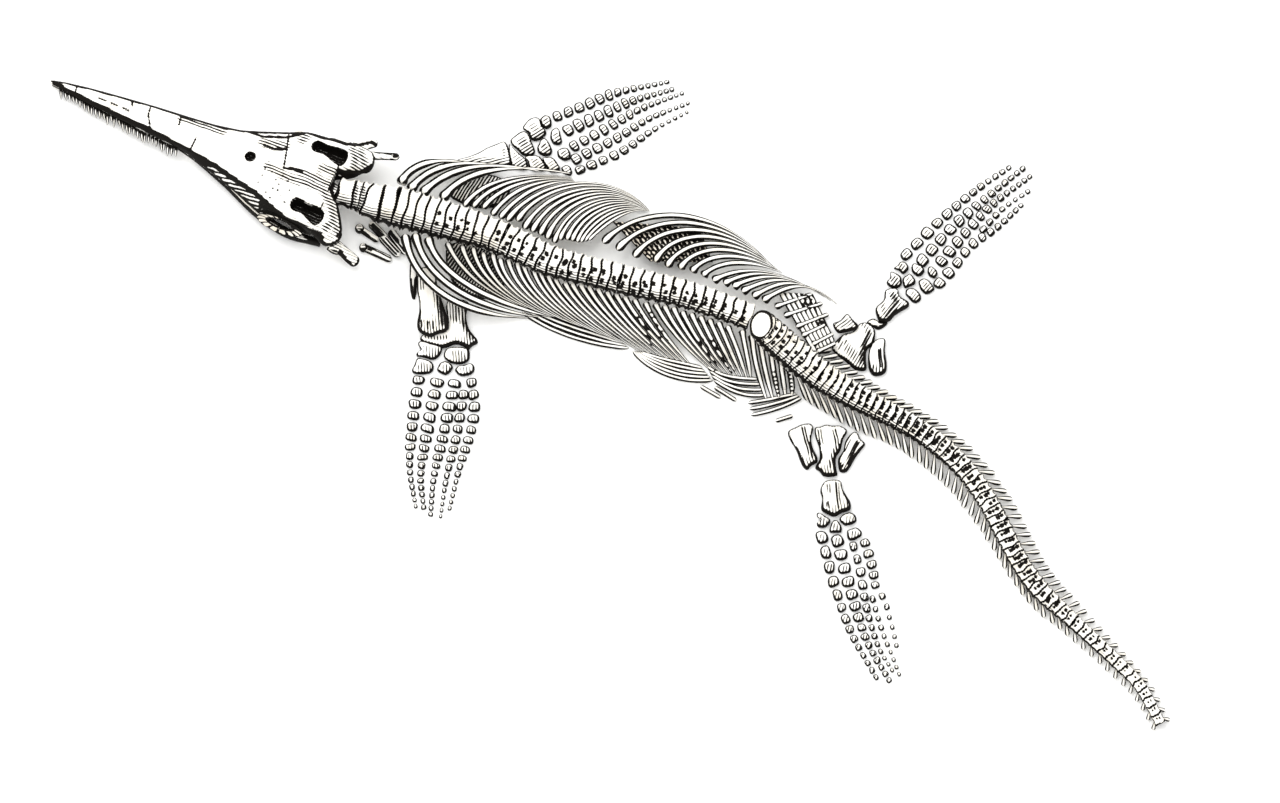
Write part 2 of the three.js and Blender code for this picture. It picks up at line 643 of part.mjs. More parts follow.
const FLAT_BONES = {
  clavicle: [[[-458, 289], [-450, 288], [-451, 205], [-457, 208]], 6, 0],
  scapula_left: [
    [
      [-444, 267], [-442, 203], [-442, 167], [-444, 151], [-432, 137], [-414, 133], [-396, 141],
      [-386, 153], [-400, 187], [-412, 223], [-418, 267],
    ], 12, 17,
  ],
  humerus_left: [
    [
      [-390, 203], [-346, 199], [-348, 173], [-340, 143], [-326, 121], [-342, 111], [-370, 117],
      [-394, 111], [-416, 117], [-438, 123], [-434, 136], [-408, 140],
    ], 16, 0,
  ],
  humerus_right: [
    [[-364, 487], [-324, 499], [-300, 515], [-280, 523], [-266, 519], [-264, 475], [-320, 471]], 14, 0,
  ],
  coracoid_left: [
    [[-384, 316], [-300, 300], [-268, 250], [-290, 212], [-334, 210], [-378, 244]], 10, 0,
  ],
  coracoid_right: [
    [[-384, 417], [-366, 443], [-310, 457], [-270, 443], [-262, 405], [-320, 389]], 10, 0,
  ],
  ilium_right: [
    [
      [388, 157], [400, 163], [414, 177], [424, 171], [436, 153], [424, 143], [400, 139], [392, 145],
    ], 12, 12,
  ],
  pubis_right: [
    [
      [440, 157], [452, 158], [467, 143], [470, 133], [462, 113], [454, 83], [450, 67], [430, 65],
      [412, 83], [392, 99], [384, 113], [396, 132], [420, 138],
    ], 12, 0,
  ],
  ischium_right: [
    [[474, 131], [492, 127], [490, 99], [494, 71], [472, 57], [458, 61], [460, 87], [466, 113]], 14, 0,
  ],
  hip_link_right: [
    [[454, 161], [464, 165], [480, 160], [497, 159], [490, 149], [478, 147], [470, 150]], 9, 0,
  ],
  pubis_left: [
    [
      [296, -59], [314, -47], [340, -43], [345, -56], [341, -77], [348, -97], [352, -117], [344, -129],
      [334, -133], [322, -125], [310, -93], [300, -71],
    ], 12, 0,
  ],
  ilium_left: [
    [
      [349, -47], [370, -45], [396, -49], [416, -60], [402, -87], [391, -107], [392, -137],
      [391, -147], [366, -147], [352, -133], [358, -117], [354, -93], [346, -73],
    ], 13, 0,
  ],
  ischium_left: [
    [
      [416, -71], [428, -59], [436, -63], [440, -73], [450, -83], [436, -107], [416, -137],
      [400, -141], [396, -127], [395, -111], [406, -91],
    ], 12, 0,
  ],
  femur_right: [
    [
      [490, 227], [516, 227], [521, 213], [538, 198], [530, 182], [514, 172], [502, 165], [478, 165],
      [472, 178], [470, 190], [480, 201], [488, 213],
    ], 18, 0,
  ],
  femur_left: [
    [
      [368, -157], [398, -155], [402, -173], [418, -197], [420, -213], [400, -223], [386, -229],
      [372, -223], [362, -213], [364, -193], [360, -175],
    ], 18, 0,
  ],
};

for (const [name, [outline, thickness, base]] of Object.entries(FLAT_BONES)) {
  addBone(name, solid(plate(outline, thickness, base)), CREAM);
}

// Small bones beside the neck: rods with a round head, and flat ribs.
const NECK_BONES = {
  hyoid_front: [[-562, 347], [-530, 323], 7],
  hyoid_rear: [[-552, 309], [-500, 281], 7],
  neck_rib_1: [[-538, 357], [-512, 325], 5],
  neck_rib_2: [[-510, 341], [-482, 293], 6],
  neck_rib_3: [[-494, 345], [-470, 297], 6],
};

for (const [name, [head, tip, thick]] of Object.entries(NECK_BONES)) {
  addBone(name, solid(groundRod(straightHandles(head, tip), thick)), CREAM);
}

// Paddles. The wrist is one thick plate, and five digits of beads grow from it.
const BEADS_PER_DIGIT = 7;
const PADDLES = {
  paddle_fore_right: {
    wrist: [
      [-262, 470], [-260, 516], [-256, 536], [-236, 558], [-206, 568], [-186, 556], [-176, 530],
      [-160, 498], [-134, 478], [-136, 456], [-200, 460],
    ],
    digits: [
      [[-196, 556], [-110, 595], [-52, 619], [54, 642]],
      [[-190, 520], [-80, 575], [-24, 601], [64, 627]],
      [[-172, 492], [-70, 547], [0, 587], [84, 619]],
      [[-160, 474], [-46, 529], [16, 567], [96, 599]],
      [[-146, 466], [-38, 501], [26, 545], [94, 581]],
    ],
    widths: [23, 8],
  },
  paddle_fore_left: {
    wrist: [
      [-450, 114], [-418, 111], [-394, 105], [-370, 110], [-344, 104], [-328, 76], [-328, 46],
      [-458, 52], [-462, 86],
    ],
    digits: [
      [[-442, 60], [-456, -59], [-460, -147], [-448, -209]],
      [[-406, 56], [-426, -61], [-438, -151], [-432, -211]],
      [[-374, 54], [-392, -61], [-412, -153], [-418, -225]],
      [[-354, 50], [-368, -75], [-386, -149], [-398, -229]],
      [[-336, 54], [-332, -31], [-356, -115], [-380, -213]],
    ],
    widths: [27, 9],
  },
  paddle_hind_right: {
    wrist: [
      [491, 232], [518, 232], [527, 217], [544, 203], [566, 198], [590, 226], [590, 258], [570, 280],
      [542, 290], [512, 282], [494, 262],
    ],
    digits: [
      [[524, 276], [604, 365], [678, 427], [740, 469]],
      [[554, 268], [630, 353], [698, 411], [768, 467]],
      [[572, 244], [648, 333], [702, 391], [782, 451]],
      [[660, 312], [688, 345], [728, 387], [778, 421]],
      [[574, 228], [620, 257], [664, 313], [716, 349], [764, 393]],
    ],
    widths: [25, 11],
  },
  paddle_hind_left: {
    wrist: [
      [350, -228], [364, -230], [386, -236], [402, -230], [418, -223], [436, -228], [444, -262],
      [438, -282], [350, -286],
    ],
    digits: [
      [[362, -262], [388, -367], [422, -463], [470, -549]],
      [[394, -270], [418, -369], [452, -477], [496, -555]],
      [[424, -270], [444, -381], [472, -477], [502, -535]],
      [[436, -262], [472, -371], [490, -471], [516, -547]],
      [[466, -362], [482, -389], [504, -433], [512, -485]],
    ],
    widths: [27, 11],
  },
};
const WRIST_HEIGHT = 13;
// A digit is a flat-bottomed ridge that swells at its beads: the height at which its route is read,
// how the beads close up towards the tip, how narrow it is between them and its height for its width.
const DIGIT = { height: 5, closing: 0.85, waist: 0.62, rise: 1.1 };

function digit(route, [first, last]) {
  const curve = curveThrough(route.map(([x, y]) => seen(x, y, DIGIT.height).setZ(0)));
  const rings = [];
  for (let i = 0; i <= 2 * BEADS_PER_DIGIT; i += 1) {
    const share = (i / (2 * BEADS_PER_DIGIT)) ** DIGIT.closing;
    const t = curve.getUtoTmapping(share);
    const half = lerp(first, last, share) * 0.5 * (i % 2 === 0 ? DIGIT.waist : 1);
    const centre = curve.getPoint(t);
    const along = curve.getTangent(t);
    const side = new THREE.Vector3().crossVectors(UP, along).normalize();
    const ridge = centre.clone().setZ(half * DIGIT.rise);
    rings.push([
      ridge, centre.clone().addScaledVector(side, half), centre.clone().addScaledVector(side, -half),
    ]);
  }
  return loft(rings);
}

for (const [name, { wrist, digits, widths }] of Object.entries(PADDLES)) {
  const rows = digits.map((route) => digit(route, widths));
  addBone(name, fuse([plate(wrist, WRIST_HEIGHT), ...rows]), CREAM);
}

skeleton.rotation.z = BODY_TURN;
skeleton.updateMatrixWorld(true);
const box = new THREE.Box3().setFromObject(skeleton, true);
skeleton.position.set(-(box.min.x + box.max.x) / 2, -(box.min.y + box.max.y) / 2, -box.min.z);

export default skeleton;
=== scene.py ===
import math
import random

import bmesh
import bpy
import numpy as np
from mathutils import Matrix, Vector


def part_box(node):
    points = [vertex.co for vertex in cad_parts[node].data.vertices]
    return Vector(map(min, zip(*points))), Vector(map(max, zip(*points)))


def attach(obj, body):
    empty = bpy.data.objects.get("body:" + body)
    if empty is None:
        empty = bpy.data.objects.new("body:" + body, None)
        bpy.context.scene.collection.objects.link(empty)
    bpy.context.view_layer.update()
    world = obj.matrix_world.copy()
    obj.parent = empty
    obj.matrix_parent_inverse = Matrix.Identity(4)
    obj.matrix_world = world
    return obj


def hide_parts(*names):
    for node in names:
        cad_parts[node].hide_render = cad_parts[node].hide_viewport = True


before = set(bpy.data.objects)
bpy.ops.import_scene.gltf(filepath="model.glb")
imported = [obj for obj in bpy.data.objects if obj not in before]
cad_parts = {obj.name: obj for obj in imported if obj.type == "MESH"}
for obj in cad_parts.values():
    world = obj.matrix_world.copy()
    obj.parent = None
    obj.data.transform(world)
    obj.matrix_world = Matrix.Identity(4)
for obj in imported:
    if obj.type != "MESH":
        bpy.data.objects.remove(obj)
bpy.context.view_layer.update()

DRAW = random.Random(7)

# Places. Sizes are in millimetres until a bone is finished, and then in metres.
# x, y are written as they are seen down a sight line that leans SIGHT_LEAN from plumb, and z is
# the true height above the floor. seen() turns them into true places. LIGHT_SIDE points to where
# the light comes from in the plan.
MM = 0.001
SIGHT_LEAN = math.radians(12)
BODY_TURN = math.radians(20)
LEAN_SIN, LEAN_COS = math.sin(SIGHT_LEAN), math.cos(SIGHT_LEAN)
UP = np.array([0.0, 0.0, 1.0])
PIXEL = 2.0
PHOTO_SIZE = (1280, 803)
LIGHT_SIDE = np.array([-0.5, 0.866, 0.0])


def seen(x, y, z):
    """True places of what is seen at x, y and lies at the height z."""
    x, y, z = np.broadcast_arrays(*(np.asarray(v, float) for v in (x, y, z)))
    return np.stack([x, (y - z * LEAN_SIN) / LEAN_COS, z], -1)


def as_seen(points):
    """Where true places are seen."""
    return np.stack([points[..., 0], points[..., 1] * LEAN_COS + points[..., 2] * LEAN_SIN], -1)


def from_photo(places):
    """Pixels of the photograph as seen millimetres."""
    spots = np.asarray(places, float).reshape(-1, 2)
    return np.stack([PIXEL * spots[:, 0] - PHOTO_SIZE[0], PHOTO_SIZE[1] - PIXEL * spots[:, 1]], -1)


def lerp(a, b, t):
    return a + (b - a) * t


def ease(start, end, value):
    """0 before start, 1 after end and smooth between. start may be above end."""
    t = np.clip((np.asarray(value, float) - start) / (end - start), 0, 1)
    return t * t * (3 - 2 * t)


def read_at(values, t):
    """Reads an evenly spaced list of values at t from 0 to 1."""
    return np.interp(np.clip(t, 0, 1), np.linspace(0, 1, len(values)), values)


def unit(vectors):
    return vectors / np.maximum(np.linalg.norm(vectors, axis=-1, keepdims=True), 1e-9)


def run_along(points):
    """The length of a line up to each of its points."""
    return np.concatenate([[0], np.cumsum(np.linalg.norm(np.diff(points, axis=0), axis=1))])


def angles_round(count):
    """Angles evenly spaced round a full turn."""
    return np.arange(count) / count * 2 * math.pi


def add_object(name, data):
    made = bpy.data.objects.new(name, data)
    bpy.context.scene.collection.objects.link(made)
    return made


class Curve:
    """A smooth line through places, read by its own parameter or by its length."""

    FINE = 1500
    LEAST_GAP = 1e-3
    NUDGE = 1e-3

    def __init__(self, places):
        self.places = np.asarray(places, float)
        self.t = np.linspace(0, 1, self.FINE)
        self.line = self.at(self.t)
        self.run = run_along(self.line)
        self.length = self.run[-1]

    def at(self, t):
        p = self.places
        ends = [2 * p[0] - p[1], 2 * p[-1] - p[-2]]
        q = np.vstack([ends[:1], p, ends[1:]])
        spot = np.clip(np.asarray(t, float), 0, 1) * (len(p) - 1)
        low = np.minimum(spot.astype(int), len(p) - 2)
        w = (spot - low)[..., None]
        x0, x1, x2, x3 = near = [q[low + k] for k in range(4)]
        gaps = [np.sqrt(np.linalg.norm(b - a, axis=-1, keepdims=True)) for a, b in zip(near, near[1:])]
        d0, d1, d2 = (np.maximum(gap, self.LEAST_GAP) for gap in gaps)
        t1 = d1 * ((x1 - x0) / d0 - (x2 - x0) / (d0 + d1) + (x2 - x1) / d1)
        t2 = d1 * ((x2 - x1) / d1 - (x3 - x1) / (d1 + d2) + (x3 - x2) / d2)
        return x1 + w * (t1 + w * ((3 * x2 - 3 * x1 - 2 * t1 - t2) + w * (2 * x1 - 2 * x2 + t1 + t2)))

    def t_of(self, share):
        return np.interp(np.asarray(share) * self.length, self.run, self.t)

    def spaced(self, share):
        return self.at(self.t_of(share))

    def heading(self, t):
        t = np.asarray(t)
        return unit(self.at(t + self.NUDGE) - self.at(t - self.NUDGE))


def bezier(handles, t):
    """A bent line with four handles."""
    h = np.asarray(handles, float)
    t = np.asarray(t)[:, None]
    s = 1 - t
    return s**3 * h[0] + 3 * s * s * t * h[1] + 3 * s * t * t * h[2] + t**3 * h[3]


class Skin:
    """Closed shells of points and faces. A bone is made of one skin."""

    def __init__(self):
        self.points, self.faces, self.shade_and_stain, self.grain = [], [], [], []
        self.count = 0

    def rings(self, rings, shade_and_stain=0.0, grain=None):
        """A closed shell over rows of points, each row a ring."""
        rings = np.asarray(rings, float)
        rows, sides = rings.shape[:2]
        start = self.count + np.arange(rows - 1)[:, None] * sides
        here, after = np.arange(sides), (np.arange(sides) + 1) % sides
        quads = np.stack([start + here, start + after, start + after + sides, start + here + sides], -1)
        first, last = self.count + here, self.count + (rows - 1) * sides + here
        self.faces += quads.reshape(-1, 4).tolist() + [first[::-1].tolist(), last.tolist()]
        if grain is None:
            grain = np.zeros((rows, sides, 3))
        self.points.append(rings.reshape(-1, 3))
        self.shade_and_stain.append(np.broadcast_to(np.asarray(shade_and_stain, float), (rows, sides)).reshape(-1))
        self.grain.append(grain.reshape(-1, 3))
        self.count += rows * sides


# How dark the painted shade on a flank may be: by the upward part of its facing, less on walls and least
# underneath.
ROD_SHADE_LIMIT = ([-0.7, -0.3, 0.0, 0.22], [0.36, 0.54, 0.62, 1.0])
BONE_SHADE_LIMIT = ([-0.6, -0.2, 0.0, 0.2], [0.36, 0.54, 0.62, 1.0])
# Where the painted shade of a rod's underside and of its side away from the light sets in and is full.
ROD_UNDERSIDE_SHADE = (0.15, -0.1)
ROD_SHADE_HATCH = (0.2, -0.85)
# How far the grains of two bones may lie apart, and the least half width that a grain turns round.
GRAIN_SPREAD = 900
GRAIN_LEAST_WIDTH = 0.5


def squared_off(wave, flat):
    """A sine or cosine for a round section, where flat is 2, or for a squarer one."""
    return np.sign(wave) * np.abs(wave) ** (2 / flat)


def sweep(skin, centres, widths, heights, sides=12, shade_and_stain=0.0, headings=None, push=0.0, rim=None, flat=2.0):
    """A rod along centres, with a half width and half height at each of them. push moves the points
    of a ring ahead, rim says how painted shade darkens the flanks and flat how square the section is."""
    centres = np.asarray(centres, float)
    if headings is None:
        headings = unit(np.gradient(centres, axis=0))
    side = unit(np.cross(UP, headings))
    lift = np.cross(headings, side)
    angle = angles_round(sides)
    aside, above = squared_off(np.sin(angle), flat), squared_off(np.cos(angle), flat)
    widths, heights = (np.broadcast_to(np.asarray(v, float), (len(centres),)) for v in (widths, heights))
    across, rise = widths[:, None] * aside, heights[:, None] * above
    push, shade_and_stain = (np.broadcast_to(np.asarray(v, float), across.shape) for v in (push, shade_and_stain))
    rings = (
        centres[:, None] + across[..., None] * side[:, None] + rise[..., None] * lift[:, None]
        + push[..., None] * headings[:, None]
    )
    # Painted shade: flanks and underside darkened, more so and hatched on the side away from the light.
    if rim:
        lit = aside[None, :] * (side @ LIGHT_SIDE)[:, None]
        flank = ease(rim["start"], rim["full"], np.abs(aside)[None, :] - rim["lean"] * lit)
        under = ease(*ROD_UNDERSIDE_SHADE, above)[None, :] * np.ones_like(lit)
        painted_flank_shade = np.maximum.reduce([flank, under, rim["hatch"] * ease(*ROD_SHADE_HATCH, lit)])
        painted_flank_shade = np.minimum(painted_flank_shade, np.interp(above, *ROD_SHADE_LIMIT)[None, :])
        painted_flank_shade[:rim.get("skip", 0)] = 0
        shade_and_stain = np.maximum(shade_and_stain, painted_flank_shade)
    turn = np.minimum(angle, 2 * math.pi - angle) * np.sign(math.pi - angle + 1e-6)
    grain = np.stack([
        np.broadcast_to(run_along(centres)[:, None], across.shape),
        turn[None, :] * np.maximum(widths[:, None], GRAIN_LEAST_WIDTH),
        np.full(across.shape, DRAW.uniform(0, GRAIN_SPREAD)),
    ], -1)
    skin.rings(rings, shade_and_stain, grain)


# How painted shade darkens a rod's flanks: where it sets in and is full across it, how much it leans
# away from the light, and how dark the side away from the light is.
ROD_RIM = dict(start=0.50, full=0.74, lean=0.12, hatch=0.0)
# The square of the least share of a rod's width that is left at its very end.
END_LEAST = 0.0004


def close_stations(count):
    """Shares from 0 to 1 that lie closer near both ends."""
    return (1 - np.cos(np.linspace(0, math.pi, count))) / 2


def round_ends(shares, head, tip):
    """Narrows a rod to round ends. head and tip are the shares of its length that they take."""

    def end(part):
        return np.sqrt(np.clip(1 - (1 - np.clip(part, 0, 1)) ** 2, END_LEAST, 1))

    return end(shares / head) * end((1 - shares) / tip)


# Where a bone's painted shade hatching sets in and is full across it, over how much of its facing a
# mark fades, and how much of its height its grain shows.
BONE_SHADE_HATCH = (0.3, -0.9)
FACING_FADE = 0.3
GRAIN_RISE = 0.3


class Bone:
    """A bone's mesh with two values at each point: shade_and_stain says how dark it is, from 0, clean, to 1,
    black, and grain how its fibres run. Most of the darkness is painted shade on flanks, undersides,
    hollows and the side away from the light; the rest is dark joints and marks."""

    def __init__(self, name, skin=None, mesh=None, heading=0.0):
        self.name = name
        if mesh is None:
            mesh = bpy.data.meshes.new(name)
            mesh.from_pydata(np.vstack(skin.points).tolist(), [], skin.faces)
            work = bmesh.new()
            work.from_mesh(mesh)
            bmesh.ops.recalc_face_normals(work, faces=work.faces)
            work.to_mesh(mesh)
            work.free()
        self.mesh = mesh
        self.read()
        if skin is None:
            self.shade_and_stain = np.zeros(len(self.points))
            c, s = math.cos(heading), math.sin(heading)
            x, y, z = self.points.T
            self.grain = np.stack([x * c + y * s, y * c - x * s, z * GRAIN_RISE], -1)
        else:
            self.shade_and_stain = np.concatenate(skin.shade_and_stain)
            self.grain = np.vstack(skin.grain)

    def read(self):
        points, normals = np.zeros((2, len(self.mesh.vertices) * 3))
        self.mesh.vertices.foreach_get("co", points)
        self.mesh.vertex_normals.foreach_get("vector", normals)
        self.points, self.normals = points.reshape(-1, 3), normals.reshape(-1, 3)

    def write(self):
        self.mesh.vertices.foreach_set("co", self.points.reshape(-1))
        self.mesh.update()
        self.read()

    def mark(self, lines, half_width, depth=0.0, shade_and_stain=1.0, facing_up=-1.3, under=math.inf, core=0.45):
        """Sinks and darkens lines and spots, given as seen, in what faces up and lies under a height. Most
        are painted shade, some are dark joints and marks. core is the share of the half width that is
        darkened in full."""
        spots = as_seen(self.points)
        facing = ease(facing_up, facing_up + FACING_FADE, self.normals[:, 2]) * (self.points[:, 2] < under)
        for line in lines:
            away = near_line(spots, line)
            near = ease(half_width, half_width * core, away) * facing
            self.points -= self.normals * (near * depth)[:, None]
            self.shade_and_stain = np.maximum(self.shade_and_stain, near * shade_and_stain)
        return self

    def shade(self, start, full, lean=0.1, hatch=0.0):
        """Paints shade on what is steeper than start, as the upward part of its facing, more so away from
        the light, and hatches the half of the bone that lies away from the light with painted shade."""
        rise = self.normals[:, 2] + lean * (self.normals @ LIGHT_SIDE)
        painted_flank_shade = np.minimum(ease(start, full, rise), np.interp(self.normals[:, 2], *BONE_SHADE_LIMIT))
        self.shade_and_stain = np.maximum(self.shade_and_stain, painted_flank_shade)
        if hatch:
            place = self.points @ LIGHT_SIDE
            middle, half = (place.max() + place.min()) / 2, (place.max() - place.min()) / 2
            self.shade_and_stain = np.maximum(self.shade_and_stain, hatch * ease(*BONE_SHADE_HATCH, (place - middle) / half))
        return self

    def finish(self, slot, *nodes):
        """Moves the bone into the row frame and puts it in place of its nodes."""
        self.points[:, 2] = np.maximum(self.points[:, 2], 0)
        self.write()
        mesh = self.mesh
        mesh.polygons.foreach_set("use_smooth", np.ones(len(mesh.polygons), bool))
        shade_and_stain = mesh.attributes.new("shade_and_stain", "FLOAT", "POINT")
        shade_and_stain.data.foreach_set("value", np.clip(self.shade_and_stain, 0, 1).astype(np.float32))
        grain = mesh.attributes.new("grain", "FLOAT_VECTOR", "POINT")
        grain.data.foreach_set("vector", self.grain.reshape(-1).astype(np.float32))
        mesh.transform(TO_ROW)
        mesh.update()
        mesh.materials.clear()
        mesh.materials.append(MATERIALS[slot])
        piece = add_object(self.name + "_look", mesh)
        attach(piece, "root")
        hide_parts(*(nodes or (self.name,)))


def near_line(spots, line):
    """How far each spot is from a bent line, or from a single place."""
    line = np.asarray(line, float).reshape(-1, 2)
    if len(line) == 1:
        return np.linalg.norm(spots - line[0], axis=1)
    away = np.full(len(spots), np.inf)
    for a, b in zip(line[:-1], line[1:]):
        step = b - a
        share = np.clip(((spots - a) @ step) / max(step @ step, 1e-9), 0, 1)
        away = np.minimum(away, np.linalg.norm(spots - a - share[:, None] * step, axis=1))
    return away


def remeshed(mesh, voxel, cutters=()):
    """One even skin over the shells of a mesh, with the cutters' shells taken out."""
    work = add_object("work", mesh)
    spare = [work]

    def even():
        modifier = work.modifiers.new("even", "REMESH")
        modifier.mode = "VOXEL"
        modifier.voxel_size = voxel

    even()
    for cutter in cutters:
        tool = add_object("tool", cutter)
        tool.hide_render = True
        spare.append(tool)
        modifier = work.modifiers.new("cut", "BOOLEAN")
        modifier.operation = "DIFFERENCE"
        modifier.solver = "FAST"
        modifier.object = tool
    if cutters:
        even()
    bpy.context.view_layer.update()
    graph = bpy.context.evaluated_depsgraph_get()
    made = bpy.data.meshes.new_from_object(work.evaluated_get(graph))
    for item in spare:
        bpy.data.objects.remove(item)
    return made


def skin_mesh(skin, name="shells"):
    return Bone(name, skin).mesh


# The row frame: the plan is turned by BODY_TURN and moved. The clavicle's box gives the move. Its
# outline is in pixels of the photograph.
CLAVICLE = [411, 257, 415, 257.5, 414.5, 299, 411.5, 297.5]


def row_matrix():
    turn = Matrix.Rotation(BODY_TURN, 4, "Z")
    corners = [turn @ Vector(place) for place in seen(*from_photo(CLAVICLE).T, 6)]
    low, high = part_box("clavicle")
    shift = [
        (low[k] + high[k]) / 2 - MM * (min(c[k] for c in corners) + max(c[k] for c in corners)) / 2
        for k in (0, 1)
    ]
    return Matrix.Translation((shift[0], shift[1], 0)) @ turn @ Matrix.Scale(MM, 4)


TO_ROW = row_matrix()

# Materials. Hatching on painted shade and dark marks is strokes along the grain, HATCH_PITCH millimetres
# apart.
# WAVE_PERIOD is how far apart a wave texture's bands lie at a scale of one.
HATCH_PITCH = 6.0
WAVE_PERIOD = 2 * math.pi / 20
FIBRE_STRETCH = (0.05, 0.75, 1.0)
SPECK_SCALE, PATCH_SCALE = 420.0, 16.0
# How much the strokes, the fibres and the specks move the edge of the painted shade and dark marks, and the
# fibres the tone.
STROKE_SHARE, FIBRE_SHARE, SPECK_SHARE = 0.42, 0.5, 0.2
TONE_FIBRE_SHARE = 0.6
TONE_RANGE = (0.35, 0.7)
ROUGHNESS, SPECK_ROUGHNESS = 0.5, 0.25
BUMP_SPECK_SHARE, BUMP_STRENGTH, BUMP_DEPTH = 0.4, 0.35, 0.0008
BONE_GLOSS = 0.05
# The near black of the painted shade and of the dark marks.
SHADE_AND_STAIN_BLACK = (0.007, 0.006, 0.005)
# Each slot's clean and warm tone, and where its painted shade and dark marks set in and are full.
TONES = {
    "bone_pale": ((0.92, 0.905, 0.865), (0.84, 0.80, 0.71), (0.42, 0.58)),
    "bone_warm": ((0.91, 0.89, 0.84), (0.82, 0.77, 0.67), (0.42, 0.58)),
    "bone_dark": ((0.85, 0.81, 0.73), (0.70, 0.62, 0.50), (0.40, 0.56)),
}


def bone_material(name, clean, warm, ink):
    """Fibrous bone. Its painted shade and dark marks darken it along the fibres."""
    material = bpy.data.materials.new(name)
    material.use_nodes = True
    nodes, links = material.node_tree.nodes, material.node_tree.links
    shader = nodes["Principled BSDF"]

    def node(kind, **sockets):
        made = nodes.new(kind)
        for key, value in sockets.items():
            made.inputs[key].default_value = value
        return made

    def math_node(operation, a, b, c=None):
        made = nodes.new("ShaderNodeMath")
        made.operation = operation
        for socket, value in zip(made.inputs, (a, b, c)):
            if value is None:
                continue
            if isinstance(value, (int, float)):
                socket.default_value = value
            else:
                links.new(value, socket)
        return made.outputs[0]

    shade_and_stain = nodes.new("ShaderNodeAttribute")
    shade_and_stain.attribute_name = "shade_and_stain"
    grain = nodes.new("ShaderNodeAttribute")
    grain.attribute_name = "grain"
    stretch = nodes.new("ShaderNodeMapping")
    stretch.inputs["Scale"].default_value = FIBRE_STRETCH
    links.new(grain.outputs["Vector"], stretch.inputs["Vector"])
    fibre = node("ShaderNodeTexNoise", Scale=1.0, Detail=3.0, Roughness=0.6)
    links.new(stretch.outputs[0], fibre.inputs["Vector"])
    coords = nodes.new("ShaderNodeTexCoord")
    speck = node("ShaderNodeTexNoise", Scale=SPECK_SCALE, Detail=2.0, Roughness=0.6)
    patch = node("ShaderNodeTexNoise", Scale=PATCH_SCALE, Detail=4.0, Roughness=0.55)
    for texture in (speck, patch):
        links.new(coords.outputs["Object"], texture.inputs["Vector"])

    strokes = node("ShaderNodeTexWave", Scale=WAVE_PERIOD / HATCH_PITCH, Distortion=3.0, Detail=1.0)
    strokes.inputs["Detail Scale"].default_value = 0.5
    strokes.wave_type = "BANDS"
    strokes.bands_direction = "Y"
    links.new(grain.outputs["Vector"], strokes.inputs["Vector"])

    wander, grit, stroke = (
        math_node("SUBTRACT", texture.outputs["Fac"], 0.5) for texture in (fibre, speck, strokes)
    )
    level = math_node("MULTIPLY_ADD", stroke, STROKE_SHARE, shade_and_stain.outputs["Fac"])
    level = math_node("MULTIPLY_ADD", wander, FIBRE_SHARE, level)
    level = math_node("MULTIPLY_ADD", grit, SPECK_SHARE, level)
    inked = nodes.new("ShaderNodeMapRange")
    inked.interpolation_type = "SMOOTHSTEP"
    inked.inputs["From Min"].default_value, inked.inputs["From Max"].default_value = ink
    links.new(level, inked.inputs["Value"])

    tone = nodes.new("ShaderNodeValToRGB")
    for element, place, color in zip(tone.color_ramp.elements, TONE_RANGE, (clean, warm)):
        element.position = place
        element.color = (*color, 1)
    tint = math_node("MULTIPLY_ADD", wander, TONE_FIBRE_SHARE, patch.outputs["Fac"])
    links.new(tint, tone.inputs["Fac"])
    mix = nodes.new("ShaderNodeMix")
    mix.data_type = "RGBA"
    links.new(inked.outputs[0], mix.inputs["Factor"])
    links.new(tone.outputs["Color"], mix.inputs["A"])
    mix.inputs["B"].default_value = (*SHADE_AND_STAIN_BLACK, 1)
    links.new(mix.outputs["Result"], shader.inputs["Base Color"])

    rough = math_node("MULTIPLY_ADD", speck.outputs["Fac"], SPECK_ROUGHNESS, ROUGHNESS)
    links.new(rough, shader.inputs["Roughness"])
    height = math_node("MULTIPLY_ADD", speck.outputs["Fac"], BUMP_SPECK_SHARE, fibre.outputs["Fac"])
    bump = node("ShaderNodeBump", Strength=BUMP_STRENGTH, Distance=BUMP_DEPTH)
    links.new(height, bump.inputs["Height"])
    links.new(bump.outputs["Normal"], shader.inputs["Normal"])
    shader.inputs["Specular IOR Level"].default_value = BONE_GLOSS
    return material


MATERIALS = {slot: bone_material(slot, *tones) for slot, tones in TONES.items()}

# Skull. Its own frame: x along the skull from the snout tip, y to the animal's right.
SNOUT_TIP = (-1184, 656)
SKULL_TURN = math.radians(-22.2)
SKULL_MIDLINE = -3
# Along, half width of the roof, right and left half width of the cheek, top and jaw line.
SKULL_STATIONS = np.array([
    [0, 3, 5, 3, 17, 12], [30, 8, 11, 6, 27, 14], [80, 15, 18, 12, 35, 16], [150, 22, 25, 19, 43, 19],
    [220, 27, 32, 27, 50, 22], [300, 32, 37, 34, 59, 26], [345, 35, 40, 49, 67, 29],
    [396, 42, 47, 65, 80, 32], [441, 54, 58, 82, 96, 36], [491, 70, 79, 103, 108, 40],
    [530, 86, 94, 114, 114, 42], [575, 89, 98, 117, 117, 42], [612, 80, 92, 104, 108, 44],
], float)
# The corners of a section: the roof's edge and its shoulder, how far the cheek stands above the jaw
# line, and how wide the jaw line is for the cheek.
ROOF_EDGE = 0.76
ROOF_SHOULDER = (0.62, 0.82)
CHEEK_RISE = 5
JAW_LINE_SHARE = 0.82
SKULL_RINGS, SKULL_SIDES, SKULL_SMOOTHING = 210, 72, 12
SKULL_VOXEL = 2.2
